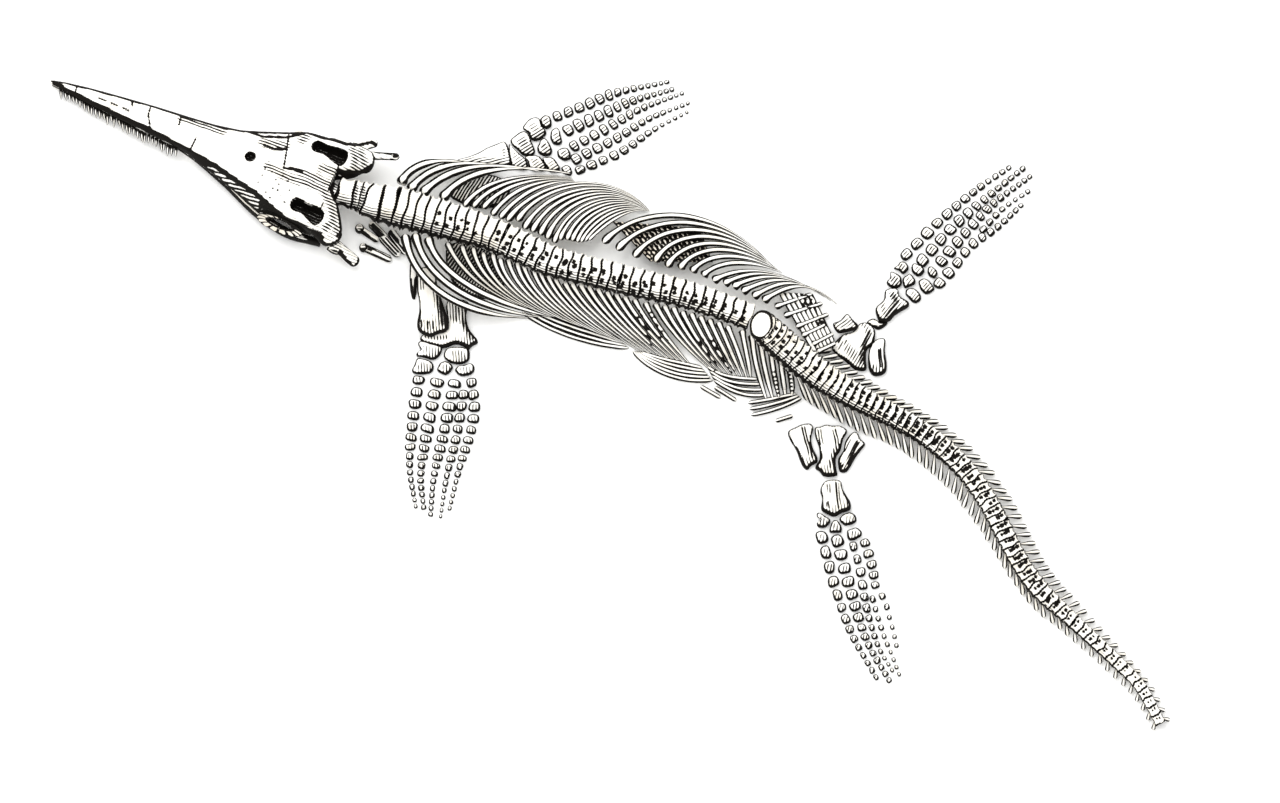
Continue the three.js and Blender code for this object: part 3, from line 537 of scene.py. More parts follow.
# Rods fused to the skull: places along them, half widths and half heights.
SKULL_RODS = [
    ([(570, 52, 82), (625, 66, 76), (672, 78, 60)], [36, 36, 30, 20], [28, 27, 23, 14]),
    ([(570, -58, 80), (625, -76, 70), (660, -104, 48)], [36, 36, 30, 20], [28, 27, 23, 14]),
    ([(620, 92, 62), (640, 106, 60), (662, 121, 58)], [12, 9], [10, 8]),
    ([(652, 88, 58), (682, 100, 54), (713, 112, 50)], [9, 8, 8], [9, 8, 7]),
    ([(652, -95, 42), (682, -107, 32), (717, -118, 22)], [9, 11, 12.5, 12], [9, 10, 11, 10]),
    ([(650, -104, 38), (662, -107, 37), (675, -106, 38)], [13, 13], [12, 12]),
]
# The same for its rear edge, and the long openings in its roof with their half widths. The places
# are a pixel of the photograph and a height.
SKULL_REAR_RODS = [
    ([(314, 167, 66), (335, 170, 64), (352, 169, 60), (368, 162, 56)], [18, 20, 18, 11], [24, 22, 16]),
    ([(318, 184, 82), (328, 203, 80), (332, 218, 70), (336, 236, 54)], [18, 18, 17, 14], [24, 24, 22]),
    ([(322, 190, 66), (331, 193, 70), (336, 196, 70)], [22, 22, 20], [22, 22]),
]
LONG_OPENINGS = [
    [(312, 144, 110), (325, 149, 110), (347, 160, 104)], [(291, 202, 110), (305, 208, 110), (323, 220, 104)],
]
OPENING_WIDTHS = [12, 13, 11, 15, 18, 17]
OPENING_HALF_DEPTH = 42
# Egg-shaped hollows, by centre and radii: the small middle opening, both orbits and the rear notch.
ROUND_HOLLOWS = [
    ((440, -9, 100), (12, 11, 26)), ((542, -112, 62), (62, 26, 27)), ((542, 86, 62), (62, 24, 27)),
    ((660, SKULL_MIDLINE - 4, 60), (28, 32, 200)),
]
BALL_POLE = 0.02


def on_skull(points):
    """Places of the skull's own frame in the plan."""
    x, y, z = np.moveaxis(np.asarray(points, float), -1, 0)
    c, s = math.cos(SKULL_TURN), math.sin(SKULL_TURN)
    return np.stack([SNOUT_TIP[0] + x * c - y * s, SNOUT_TIP[1] + x * s + y * c, z], -1)


def skull_station(along):
    return np.array([np.interp(along, SKULL_STATIONS[:, 0], column) for column in SKULL_STATIONS.T])


def even_ring(corners, count, soften=2):
    """Points evenly spaced round a closed outline, with its corners softened."""
    corners = np.asarray(corners, float)
    closed = np.vstack([corners, corners[:1]])
    run = run_along(closed)
    where = np.arange(count) / count * run[-1]
    ring = np.stack([np.interp(where, run, column) for column in closed.T], -1)
    for _ in range(soften):
        ring = (np.roll(ring, 1, 0) + 2 * ring + np.roll(ring, -1, 0)) / 4
    return ring


def skull_ring(along):
    _, roof, right, left, top, jaw = skull_station(along)
    edge = lerp(jaw, top, ROOF_EDGE)

    def flank(side, cheek):
        return [
            (side * roof * ROOF_SHOULDER[0], lerp(edge, top, ROOF_SHOULDER[1])), (side * roof, edge),
            (side * cheek, jaw + CHEEK_RISE), (side * cheek * JAW_LINE_SHARE, jaw),
        ]

    corners = [(0, top), *flank(1, right), (0, jaw), *flank(-1, left)[::-1]]
    ring = even_ring(corners, SKULL_SIDES, 3)
    return np.column_stack([np.full(len(ring), along), SKULL_MIDLINE + ring[:, 0], ring[:, 1]])


def bent_rod(skin, places, widths, heights, count=24, sides=20, place=on_skull):
    curve = Curve(places)
    shares = close_stations(count)
    ends = round_ends(shares, 0.12, 0.12)
    widths, heights = (read_at(values, shares) * ends for values in (widths, heights))
    sweep(skin, place(curve.spaced(shares)), widths, heights, sides)


def on_photo(points):
    """Places given as a pixel of the photograph and a height."""
    return seen(*from_photo(points[:, :2]).T, points[:, 2])


def ball(centre, radii, rows=14, sides=24):
    """An upright egg in the skull's frame, as a mesh to cut with."""
    skin = Skin()
    tilt = np.linspace(BALL_POLE, math.pi - BALL_POLE, rows)
    turn = angles_round(sides)
    x = np.sin(tilt)[:, None] * np.cos(turn)
    y = np.sin(tilt)[:, None] * np.sin(turn)
    z = np.cos(tilt)[:, None] * np.ones(sides)
    skin.rings(on_skull(np.stack([x, y, z], -1) * radii + np.asarray(centre, float)))
    return skin_mesh(skin, "hollow")


def long_cutter(places):
    """A long upright opening, as a mesh to cut with."""
    skin = Skin()
    bent_rod(skin, places, OPENING_WIDTHS, [OPENING_HALF_DEPTH], 20, 20, on_photo)
    return skin_mesh(skin, "opening")


def make_skull():
    skin = Skin()
    stations = np.linspace(0, SKULL_STATIONS[-1, 0], SKULL_RINGS)
    rings = np.array([skull_ring(along) for along in stations])
    for _ in range(SKULL_SMOOTHING):
        rings[1:-1] = (rings[:-2] + 2 * rings[1:-1] + rings[2:]) / 4
    skin.rings(on_skull(rings))
    for rod in SKULL_RODS:
        bent_rod(skin, *rod)
    for rod in SKULL_REAR_RODS:
        bent_rod(skin, *rod, place=on_photo)
    hollows = [long_cutter(places) for places in LONG_OPENINGS]
    hollows += [ball(centre, radii) for centre, radii in ROUND_HOLLOWS]
    return Bone("skull", mesh=remeshed(skin_mesh(skin), SKULL_VOXEL, hollows), heading=SKULL_TURN)


# Marks on the skull, as pixels of the photograph. Sutures and dark lines are sunk dark marks. The
# hatching, the black bands along the edges, the eye hollow, the orbit and jaw shade and the openings'
# floors are painted shade, and the specks are sunk pits painted dark inside as painted shade.
SKULL_SUTURES = [
    [150, 103, 147, 114, 149, 127], [75, 84, 73, 92], [130, 97, 131, 105], [181, 111, 178, 124],
    [289, 131, 287, 148, 284, 167], [195, 138, 189, 150], [97, 97, 104, 100], [109, 102, 116, 105],
    [121, 107, 128, 110],
]
SKULL_DARK_LINES = [
    [231, 125, 245, 130, 262, 136, 286, 137, 304, 133], [284, 168, 294, 169, 302, 172],
    [264, 145, 274, 149, 286, 149],
]
SKULL_SHADE_HATCHING = [
    [181, 117, 200, 124, 222, 131], [262, 142, 286, 146], [300, 172, 318, 179, 334, 187],
    [303, 182, 322, 189, 332, 205, 334, 222, 326, 228], [322, 168, 334, 171, 346, 172],
    [302, 140, 310, 133], [268, 166, 285, 176, 300, 182], [353, 150, 356, 158, 354, 168],
    [332, 173, 345, 174, 358, 169], [360, 152, 364, 164], [336, 228, 341, 240], [336, 250, 334, 252],
]
SKULL_REAR_EDGES = [
    [337, 180, 345, 179, 352, 177, 362, 171, 377, 162, 392, 160],
    [335, 181, 331, 190, 334, 198, 339, 206, 341, 218, 344, 231, 345, 242],
    [340, 251, 346, 260, 352, 266], [359, 258, 358, 263, 355, 266], [394, 156, 397, 155],
]
EYE_HOLLOW_SHADE = [[268, 215, 280, 222, 294, 230]]
ORBIT_SHADE = [[302, 229, 310, 236, 318, 238], [264, 203, 272, 209, 286, 219, 300, 228]]
JAW_EDGE = [[190, 153, 215, 179, 240, 202, 262, 224, 290, 241, 305, 246, 320, 247]]
JAW_INNER_SHADE = [[195, 152, 215, 167, 235, 183, 252, 197, 268, 213]]
SKULL_LEFT_EDGE = [
    [52, 81, 62, 88, 80, 97, 105, 109, 130, 121, 150, 130, 170, 141, 185, 149],
    [185, 149, 215, 166, 235, 180, 255, 193, 272, 208, 290, 223, 320, 235],
]
SKULL_RIGHT_EDGE = [[
    262, 130, 300, 132, 308, 131, 320, 136, 333, 139, 346, 143, 358, 144, 371, 141, 376, 144, 374, 150,
    397, 153,
]]
EDGE_INSET = 1.6
OPENING_FLOOR_SHADE = [[313, 146, 345, 160], [296, 204, 325, 222], [252, 158, 255, 162]]
SKULL_SPECKS = [
    (265, 168), (272, 172), (276, 180), (273, 188), (278, 190), (281, 196), (270, 198), (283, 176),
    (288, 181), (262, 176), (258, 182), (266, 192), (290, 190), (285, 202), (279, 184),
]


def px_lines(lines):
    return [from_photo(line) for line in lines]


def snout_edge(side, until, inset):
    """The edge of the skull on one side as it is seen, drawn in a little."""
    across = side * np.array([-math.sin(SKULL_TURN), math.cos(SKULL_TURN)])
    edge = []
    for along in np.linspace(3, until, 60):
        ring = as_seen(on_skull(skull_ring(along)))
        edge.append(ring[np.argmax(ring @ across)] - inset * across)
    return np.array(edge)


# A tooth's profile: share of its length, share of its thickness and darkness, which is painted shade at the
# root under the jaw and at the tip.
TOOTH = np.array([
    [0, 1, 1], [0.2, 0.98, 1], [0.45, 0.85, 0.3], [0.7, 0.62, 0], [0.88, 0.36, 0],
    [0.96, 0.2, 0.3], [1, 0.04, 0.8],
])
# Painted shade on a tooth's flanks.
TOOTH_RIM = dict(start=0.24, full=0.46, lean=0.1, hatch=0.0)
# Where the teeth of a side begin and end along the skull, and their number.
LEFT_TEETH, RIGHT_TEETH = (26, 288, 31), (34, 290, 26)


def tooth(skin, root, tip, thick):
    centres = np.asarray(root) + TOOTH[:, :1] * (np.asarray(tip) - np.asarray(root))
    widths = thick * TOOTH[:, 1]
    sweep(skin, centres, widths, widths, 16, TOOTH[:, 2:], rim=TOOTH_RIM)


def add_teeth(skin):
    """Long teeth along the left edge of the upper jaw and short ones along the right."""
    for along in np.linspace(*LEFT_TEETH):
        _, _, _, left, _, jaw = skull_station(along + DRAW.uniform(-1.5, 1.5))
        root = on_skull([along, SKULL_MIDLINE - left + 1, jaw + 4])
        tip = root + [DRAW.uniform(-2, 4), -DRAW.uniform(15, 26), -3]
        tooth(skin, root, tip, DRAW.uniform(3.6, 4.4))
    for along in np.linspace(*RIGHT_TEETH):
        _, _, right, _, _, jaw = skull_station(along)
        root = on_skull([along, SKULL_MIDLINE + right - 3, jaw + 3])
        tooth(skin, root, root + [DRAW.uniform(-1, 3), DRAW.uniform(2, 5), -9], 2.3)


# What faces up enough to take a mark of the roof.
ROOF_FACING = 0.1

skull = make_skull()
skull.mark(px_lines(SKULL_SUTURES), 2.4, 1.2, facing_up=ROOF_FACING)
skull.mark(px_lines(SKULL_DARK_LINES), 4.0, 1.5, facing_up=ROOF_FACING)
# Painted shade: hatching, dark bands along the edges, the eye hollow and orbit, the openings' floors and the
# specks' pits.
skull.mark(px_lines(SKULL_SHADE_HATCHING), 20.0, 0.0, 0.58, facing_up=ROOF_FACING, core=0.0)
skull.mark(px_lines(SKULL_LEFT_EDGE), 7.5)
skull.mark([from_photo(line) - [0, EDGE_INSET] for line in SKULL_RIGHT_EDGE], 4.6)
skull.mark([snout_edge(1, 510, EDGE_INSET)], 4.2)
skull.mark(px_lines(SKULL_REAR_EDGES), 5.0)
skull.mark(px_lines(ORBIT_SHADE + EYE_HOLLOW_SHADE), 17.0, under=84)
skull.mark(px_lines(OPENING_FLOOR_SHADE), 30.0, 0.0, 0.75, under=82)
skull.mark(px_lines(SKULL_SPECKS), 2.6, 0.8, 0.9, facing_up=ROOF_FACING)
skull.shade(0.62, 0.42, lean=0.12, hatch=0.32)
skull.finish("bone_pale")

teeth_skin = Skin()
add_teeth(teeth_skin)
teeth = Bone("teeth", teeth_skin)
teeth.finish("bone_pale", "skull")

# Lower jaw: two bars that meet along the snout. Stations: along, middle, half width, height.
JAW_STATIONS = np.array([
    [6, 2, 2.2, 9], [80, 6, 6, 13], [150, 9, 9, 16], [300, 21, 14, 23], [396, 53, 12, 29],
    [491, 94, 10, 37], [560, 109, 10, 39], [630, 102, 8, 30],
], float)
RIGHT_JAW_SHARE = 0.8


def jaw_bar(skin, side):
    share = RIGHT_JAW_SHARE if side > 0 else 1
    curve = Curve(np.column_stack([JAW_STATIONS[:, 0], JAW_STATIONS[:, 1] * share, JAW_STATIONS[:, 3]]))
    rings, grain = [], []
    for at in np.linspace(0, 1, 150):
        along, middle, height = curve.at(np.array(at))
        half = read_at(JAW_STATIONS[:, 2], at)
        section = [
            (half * 0.4, height), (half, height * 0.55), (half * 0.6, 0), (-half, 0), (-half, height * 0.8),
        ]
        ring = even_ring(section, 28, 2)
        across, rise = ring.T
        at_station, bar = np.full(len(ring), along), np.full(len(ring), side)
        rings.append(np.column_stack([at_station, SKULL_MIDLINE + side * (middle + across), rise]))
        grain.append(np.column_stack([at_station, across + rise, bar]))
    skin.rings(on_skull(np.array(rings)), 0.0, np.array(grain))


jaw_skin = Skin()
jaw_bar(jaw_skin, 1)
jaw_bar(jaw_skin, -1)
# Painted shade on the jaw's flanks, along its outer edge, inside the jaws and in the orbit.
mandible = Bone("mandible", jaw_skin).shade(0.7, 0.45, lean=0.15)
mandible.mark(px_lines(JAW_EDGE), 7.0)
mandible.mark(px_lines(JAW_INNER_SHADE), 9.0)
mandible.mark(px_lines(ORBIT_SHADE + EYE_HOLLOW_SHADE), 14.0)
mandible.finish("bone_warm")

# The ring of plates round each eye, standing in the orbit and leaning outwards.
EYE_PLATES = 14
PLATE_POINTS = 7
# The angles that a plate leaves free before it and in all, and its half thickness.
PLATE_GAPS = (0.03, 0.05)
PLATE_THICK = 1.6
# How far a plate stands out at its inner and outer edge and in its middle, and the painted shade on its
# edges.
PLATE_BULGE = (-0.5, -4, 2.0)
PLATE_EDGE_SHADE = [1, 0.3, 0, 0, 0, 0.3, 1]
PLATE_GRAIN = (20, 22, 7.0)
EYE_RING_TILT = math.radians(30)
EYE_RING_SQUASH = 0.44
EYE_RING_HEIGHT = 60


def eye_ring(name, side, along, across, inner, outer):
    skin = Skin()
    tilt = side * EYE_RING_TILT
    for plate in range(EYE_PLATES):
        start = plate / EYE_PLATES * 2 * math.pi + PLATE_GAPS[0]
        turn = start + np.linspace(0, 2 * math.pi / EYE_PLATES - PLATE_GAPS[1], PLATE_POINTS)
        rings = []
        for share in np.linspace(0, 1, PLATE_POINTS):
            radius = lerp(inner, outer, share)
            bulge = lerp(*PLATE_BULGE[:2], share) + PLATE_BULGE[2] * math.sin(share * math.pi)
            x, z = radius * np.sin(turn), radius * np.cos(turn) * EYE_RING_SQUASH
            front, behind = (np.full(len(x), bulge + out) for out in (PLATE_THICK, -PLATE_THICK))
            x, y, z = np.hstack([x, x[::-1]]), np.hstack([front, behind]), np.hstack([z, z[::-1]])
            rings.append(np.column_stack([
                x + along,
                y * math.cos(tilt) - z * math.sin(tilt) + SKULL_MIDLINE + across,
                y * math.sin(tilt) + z * math.cos(tilt) + EYE_RING_HEIGHT,
            ]))
        # Painted shade: each plate's edges dark, its two inner rows black where the orbit is in shade, its
        # outer row dark.
        shade_and_stain = np.tile(PLATE_EDGE_SHADE * 2, (PLATE_POINTS, 1)).astype(float)
        shade_and_stain[:2] = 1
        shade_and_stain[-1] = 0.8
        length, breadth, shift = PLATE_GRAIN
        rows, columns = np.linspace(0, length, PLATE_POINTS), np.linspace(0, breadth, 2 * PLATE_POINTS)
        out, about = np.meshgrid(rows, columns, indexing="ij")
        grain = np.stack([out, about, np.full(out.shape, plate * shift)], -1)
        skin.rings(on_skull(np.array(rings)), shade_and_stain, grain)
    return Bone(name, skin)


eye_ring("eye_ring_right", 1, 542, 84, 26, 42).finish("bone_dark")
left_ring = eye_ring("eye_ring_left", -1, 545, -104, 26, 49)
left_ring.mark(px_lines(ORBIT_SHADE), 10.0)
left_ring.finish("bone_dark")

# Vertebral column and tail.
COLUMN_ROUTE = [
    (-606, 421, 72), (-556, 409, 74), (-530, 399, 77), (-480, 387, 79), (-400, 365, 80), (-300, 335, 80),
    (-240, 309, 80), (-180, 281, 80), (-80, 255, 80), (0, 235, 79), (80, 217, 77), (160, 191, 71),
    (221, 168, 63),
]
COLUMN_RADII = [29, 31, 38, 42, 40, 34, 33, 32, 31, 30, 29, 28, 27]
TAIL_ROUTE = [
    (234, 160, 122), (274, 123, 97), (314, 89, 77), (350, 59, 63), (420, 15, 47), (470, -11, 39),
    (520, -37, 32), (576, -71, 27), (646, -133, 24), (690, -193, 23), (720, -249, 21.5), (760, -325, 21),
    (798, -377, 21), (840, -417, 18), (888, -461, 16), (950, -519, 14), (994, -565, 13),
    (1036, -641, 11.5),
]
TAIL_RADII = [29, 32, 33, 32, 28, 26, 24, 23, 22, 21, 20.5, 20, 20, 17, 15, 13.5, 12.5, 11]
# Each run of vertebrae: its name, the share of the curve where it ends and how many there are.
TRUNK_RUNS = [
    ("column_neck", 5 / 35, 5), ("column_front", 14 / 35, 11), ("column_middle", 24 / 35, 12),
    ("column_rear", 1, 13),
]
TAIL_RUNS = [
    ("tail_root", 8 / 56, 10), ("tail_front", 19 / 56, 15), ("tail_middle", 31 / 56, 15),
    ("tail_rear", 43 / 56, 14), ("tail_tip", 1, 14),
]
# The first block, the two thin discs behind it and the last two of the neck, as shares of the run.
NECK_JOINTS = [0, 0.28, 0.40, 0.51, 0.76, 1]
# Free room between two runs.
CLEARANCE = 0.6

column_curve = Curve([seen(*place) for place in COLUMN_ROUTE])
tail_curve = Curve([seen(*place) for place in TAIL_ROUTE])

# A vertebra's profile: share of its length, share of its radius and stain.
DRUM = np.array([
    [0.0, 0.82, 1.0], [0.02, 0.93, 1.0], [0.08, 1.0, 0.9], [0.15, 1.04, 0.2], [0.24, 0.99, 0],
    [0.36, 0.93, 0], [0.43, 0.915, 0], [0.5, 0.91, 0], [0.57, 0.915, 0], [0.64, 0.93, 0],
    [0.76, 0.99, 0], [0.85, 1.04, 0.2], [0.92, 1.0, 0.9], [0.98, 0.93, 1.0], [1.0, 0.82, 1.0],
])
# The open front face of the first tail vertebra: clean inside a black rim of painted shade round its edge.
OPEN_FACE = np.array([[0.0, 0.02, 0], [0.0, 0.5, 0], [0.0, 0.79, 0], [0.0, 0.83, 1], [0.03, 1.0, 1]])
JOINT_WAVE = 1.4
# The first joints of the tail lean back and turn left, so that the open face shows: how far the top
# and the left side of each run ahead.
FACE_LEAN = ((13, 8), (9, 5), (5, 2), (2, 0))
FACE_SETBACK = 10
FACE_WAVE = 0.6


def joint_wave(sides, bow):
    """How far a joint's edge runs ahead of its plane, round the joint."""
    angle = angles_round(sides)
    phase = [DRAW.uniform(0, 6.3) for _ in range(2)]
    wave = np.sin(3 * angle + phase[0]) + 0.7 * np.sin(5 * angle + phase[1])
    return bow * np.cos(angle) + JOINT_WAVE * wave


def vertebra(skin, curve, radii, ends, sides, waves, rim, open_face=False):
    drum = np.vstack([OPEN_FACE, DRUM[2:]]) if open_face else DRUM
    shares = drum[:, 0]
    t = curve.t_of(lerp(*ends, shares))
    radius = read_at(radii, t) * drum[:, 1] * DRAW.uniform(0.97, 1.03)
    push = lerp(waves[0], waves[1], shares[:, None]) * np.minimum(drum[:, 1], 1)[:, None]
    rim = {**rim, "skip": len(OPEN_FACE) if open_face else 0}
    sweep(skin, curve.at(t), radius, radius, sides, drum[:, 2][:, None], curve.heading(t), push, rim)


def column_bones(curve, radii, runs, sides, bow, rims, extras, marks):
    gap = CLEARANCE / curve.length
    done = 0
    for name, until, count in runs:
        start, end = done + gap, until - gap
        joints = NECK_JOINTS if name == "column_neck" else np.linspace(0, 1, count + 1)
        skin = Skin()
        waves = [joint_wave(sides, bow) for _ in joints]
        if name == "tail_root":
            joints[0] = FACE_SETBACK / (curve.length * (end - start))
            angle = angles_round(sides)
            for k, (lean, turn) in enumerate(FACE_LEAN):
                waves[k] = waves[k] * FACE_WAVE + lean * np.cos(angle) - turn * np.sin(angle)
        places = [lerp(start, end, joint) for joint in joints]
        for i in range(len(joints) - 1):
            open_face = name == "tail_root" and i == 0
            vertebra(skin, curve, radii, places[i:i + 2], sides, waves[i:i + 2], rims(name), open_face)
        extras(skin, start, end, count)
        bone = Bone(name, skin)
        marks(bone, name, curve, radii, places)
        bone.finish("bone_warm")
        done = until


# Pits in the sides of the vertebrae, sunk and painted black inside as painted shade: their places across
# the drum, how deep they are, how often one is missing, and how far one may stray in these ways.
TRUNK_PITS = {
    "column_front": (0.1, -0.35), "column_middle": (0.12, -0.25, -0.6), "column_rear": (0.0, -0.35, -0.68),
}
PIT_DEPTH = 2.4
PIT_MISSING = 0.15
PIT_STRAY = dict(joint=0.08, across=0.14, ahead=3, aside=5)
NECK_DISCS = [from_photo([(356, 188), (353, 205)]), from_photo([(363, 188), (361, 206)])]


def draw_stray(way):
    return DRAW.uniform(-PIT_STRAY[way], PIT_STRAY[way])


def pits(bone, curve, radii, start, end, places, size, stray):
    """Pits across a drum. stray, from 0 to 1, says how uneven they are."""
    t = curve.t_of(lerp(start, end, 0.5 + draw_stray("joint")))
    centre, ahead, radius = curve.at(t), curve.heading(t), read_at(radii, t)
    side = unit(np.array([-ahead[1], ahead[0], 0]))
    for across in places:
        across = across + stray * draw_stray("across")
        if DRAW.random() < PIT_MISSING * stray:
            continue
        spot = centre + side * radius * across + UP * radius * math.sqrt(1 - across**2)
        slip = ahead * draw_stray("ahead") * stray
        streak = slip * DRAW.uniform(0, 1) + side * draw_stray("aside") * stray
        line = as_seen(np.array([spot + slip, spot + slip + streak]))
        bone.mark([line], size * DRAW.uniform(0.8, 1.2), PIT_DEPTH, facing_up=0.0)


def mark_trunk(bone, name, curve, radii, joints):
    if name == "column_neck":
        bone.mark(NECK_DISCS, 9.0, 0.0, 0.6, facing_up=-0.5)
    for i, (start, end) in enumerate(zip(joints[:-1], joints[1:])):
        if name == "column_front" and i < 4 or name == "column_neck":
            continue
        pits(bone, curve, radii, start, end, TRUNK_PITS[name], 5.0, 0.8)


# Painted shade on the drums: black lower flanks and underside, hatched on the side away from the light.
def trunk_rim(name):
    front = name in ("column_neck", "column_front")
    return dict(start=0.88, full=0.97, lean=0.08, hatch=0.74 if front else 0.66)


def tail_rim(name):
    if name == "tail_root":
        return dict(start=0.80, full=0.92, lean=0.14, hatch=0.95)
    return dict(start=0.82, full=0.93, lean=0.12, hatch=0.86)


# The rods above and below the tail: their bearings in degrees and lengths along it, from root to tip.
UPPER_BEARINGS = [24, 24, 22, 14, 8, 2, -6, 0, 10, 24, 10, -12, -16]
LOWER_BEARINGS = [-66, -62, -62, -70, -72, -92, -108, -98, -82, -80, -88, -100, -104]
UPPER_LENGTHS = [40, 40, 38, 34, 35, 34, 33, 32, 29, 26, 21, 16, 14]
LOWER_LENGTHS = [54, 48, 42, 40, 36, 36, 34, 30, 28, 22, 18, 16, 14]
ROD_ROOT_DEPTH = 3
ROD_ROOT_NARROW = 0.42
GROUND_ROD_HEIGHT = 4
# Where a rod leaves its vertebra, as shares of the radius: outwards, and down from the middle.
ROD_ROOT_OUT, ROD_ROOT_DOWN = 0.8, 0.4
UPPER_RODS_FROM, LOWER_RODS_FROM = 0.13, 0.12
RODS_PER_RUN = 12
TAIL_ROD_BREADTHS = [5.4, 5.6, 5.2, 4.2]
# Painted shade on a tail rod's flanks.
TAIL_ROD_RIM = dict(start=0.40, full=0.56, lean=0.05, hatch=0.0)


def tail_rod(skin, t, bearings, lengths, side):
    centre, radius = tail_curve.at(np.array(t)), read_at(TAIL_RADII, t)
    stray = DRAW.uniform(-2, 2)
    bearing = math.radians(read_at(bearings, t) + stray)
    ahead = tail_curve.heading(np.array(t))
    outward = side * unit(np.array([-ahead[1], ahead[0], 0]))
    root = centre + outward * (radius * ROD_ROOT_OUT - ROD_ROOT_DEPTH)
    root[2] = max(GROUND_ROD_HEIGHT, centre[2] - radius * ROD_ROOT_DOWN)
    reach = read_at(lengths, t) + radius * 0.2 + ROD_ROOT_DEPTH
    tip = root + np.array([math.cos(bearing), math.sin(bearing), 0]) * reach
    thick = read_at(TAIL_ROD_BREADTHS, t)
    tip[2] = thick + 0.4
    shares = close_stations(14)
    widths = thick * lerp(ROD_ROOT_NARROW, 1.0, ease(0.1, 0.8, shares)) * round_ends(shares, 0.05, 0.16)
    # Painted shade where a rod meets its vertebra.
    shade_and_stain = 0.8 * ease(0.16, 0.05, shares)[:, None]
    centres = root + shares[:, None] * (tip - root)
    sweep(skin, centres, widths, widths * 0.9, 24, shade_and_stain, rim=TAIL_ROD_RIM, flat=2.4)


def tail_rods(skin, start, end, count):
    rods = min(count, RODS_PER_RUN)
    for i in range(rods):
        t = float(tail_curve.t_of(lerp(start, end, (i + 0.5) / rods)))
        if t > UPPER_RODS_FROM:
            tail_rod(skin, t, UPPER_BEARINGS, UPPER_LENGTHS, 1)
        if t > LOWER_RODS_FROM:
            tail_rod(skin, t, LOWER_BEARINGS, LOWER_LENGTHS, -1)


def mark_tail(bone, name, curve, radii, joints):
    for i, (start, end) in enumerate(zip(joints[:-1], joints[1:])):
        if name == "tail_root" and i < 2:
            continue
        radius = read_at(radii, start)
        places = (0.42, 0.0, -0.4) if radius > 19 else (0.25, -0.3)
        pits(bone, curve, radii, start, end, places, min(5.4, radius * 0.24), 0.35)


column_bones(column_curve, COLUMN_RADII, TRUNK_RUNS, 84, 2.0, trunk_rim, lambda *_: None, mark_trunk)
column_bones(tail_curve, TAIL_RADII, TAIL_RUNS, 60, 1.5, tail_rim, tail_rods, mark_tail)

# Rib cage. A rib is a bent line in the seen plane, laid over the cage's form, which is high
# beside the column and runs down to the floor at its edge.
CAGE_CREST = 58
CAGE_EDGE = 6
CAGE_REACH_RIGHT = [80, 95, 127, 158, 178, 155, 150, 110, 100]
CAGE_REACH_LEFT = [80, 85, 90, 88, 92, 112, 108, 55, 48]
TRACK_SHARES = np.linspace(0, 1, 61)
SPINE_TRACK = np.vstack([column_curve.spaced(TRACK_SHARES), tail_curve.spaced(TRACK_SHARES[:16])])


def cage_height(x, y, reach, low=CAGE_EDGE):
    place = seen(x, y, low)
    away = np.linalg.norm(place[:, None, :2] - SPINE_TRACK[None, :, :2], axis=2)
    nearest = away.min(1)
    edge = read_at(reach, away.argmin(1) / (len(SPINE_TRACK) - 1))
    return lerp(CAGE_CREST, low, np.minimum(nearest / edge, 1) ** 2)


def blend_handles(first, last, share):
    return lerp(np.asarray(first, float), np.asarray(last, float), share)


RIB_SIDES = 24
RIB_SHARES = close_stations(36)
# A rib's breadth for its fan's thickness, its least half width, and how far each of three neighbours
# is raised.
RIB_BREADTH = 1.3
RIB_LEAST = 2.1
RIB_STEP = 1.5
# Painted shade on a rib's flanks, a little more on the side away from the light.
RIB_RIM = dict(start=0.38, full=0.54, lean=0.06, hatch=0.0)
# A dark line along a rib, where a groove would be: its strength, and where it begins and ends.
RIB_GROOVE = 0.3
GROOVE_HEAD, GROOVE_TIP = (0.08, 0.2), (0.95, 0.7)
# Where a rib's width changes along it, and how wide its head and its tip are for the rest of it.
RIB_SWELL_AT = [0, 0.04, 0.11, 0.38, 0.7, 1]
RIB_CLUB, RIB_TIP = 1.35, 0.45
# Where a rib is narrower than this, the painted shade on its edges comes nearer its middle.
NARROW_WIDTHS = (3.9, 2.4)
NARROW_FLANK_SHADE = (0.14, 0.34)


def narrow_flank_shade(width, sides):
    angle = angles_round(sides)
    edge = ease(*NARROW_FLANK_SHADE, np.abs(np.sin(angle))) * (np.cos(angle) > -0.1)
    return ease(*NARROW_WIDTHS, width)[:, None] * edge[None, :]


def rib(skin, line, room, fan):
    """A rib along a seen line. room is what it has on its narrower side at each place."""
    shares = RIB_SHARES
    x, y = line.T
    low, lift = fan.get("low", CAGE_EDGE), fan["lift"]
    if "arch" in fan:
        z = lerp(CAGE_CREST + lift, low, shares ** fan["arch"])
    else:
        z = cage_height(x, y, fan["reach"], low) + lift * (1 - shares)
    club, tip = fan.get("club", RIB_CLUB), fan.get("tip", RIB_TIP)
    swell = np.interp(shares, RIB_SWELL_AT, [club, club, 1.04, 1.0, 0.95, tip])
    breadth = np.maximum(np.minimum(RIB_BREADTH * fan["thick"], room), fan.get("least", RIB_LEAST))
    width = breadth * swell * round_ends(shares, 0.03, 0.035)
    shade_and_stain = narrow_flank_shade(width, RIB_SIDES)
    shade_and_stain[:, 1] = np.maximum(shade_and_stain[:, 1], RIB_GROOVE * ease(*GROOVE_HEAD, shares) * ease(*GROOVE_TIP, shares))
    sweep(skin, seen(x, y, z + fan["step"]), width, width * 0.8, RIB_SIDES, shade_and_stain, rim=RIB_RIM, flat=2.6)


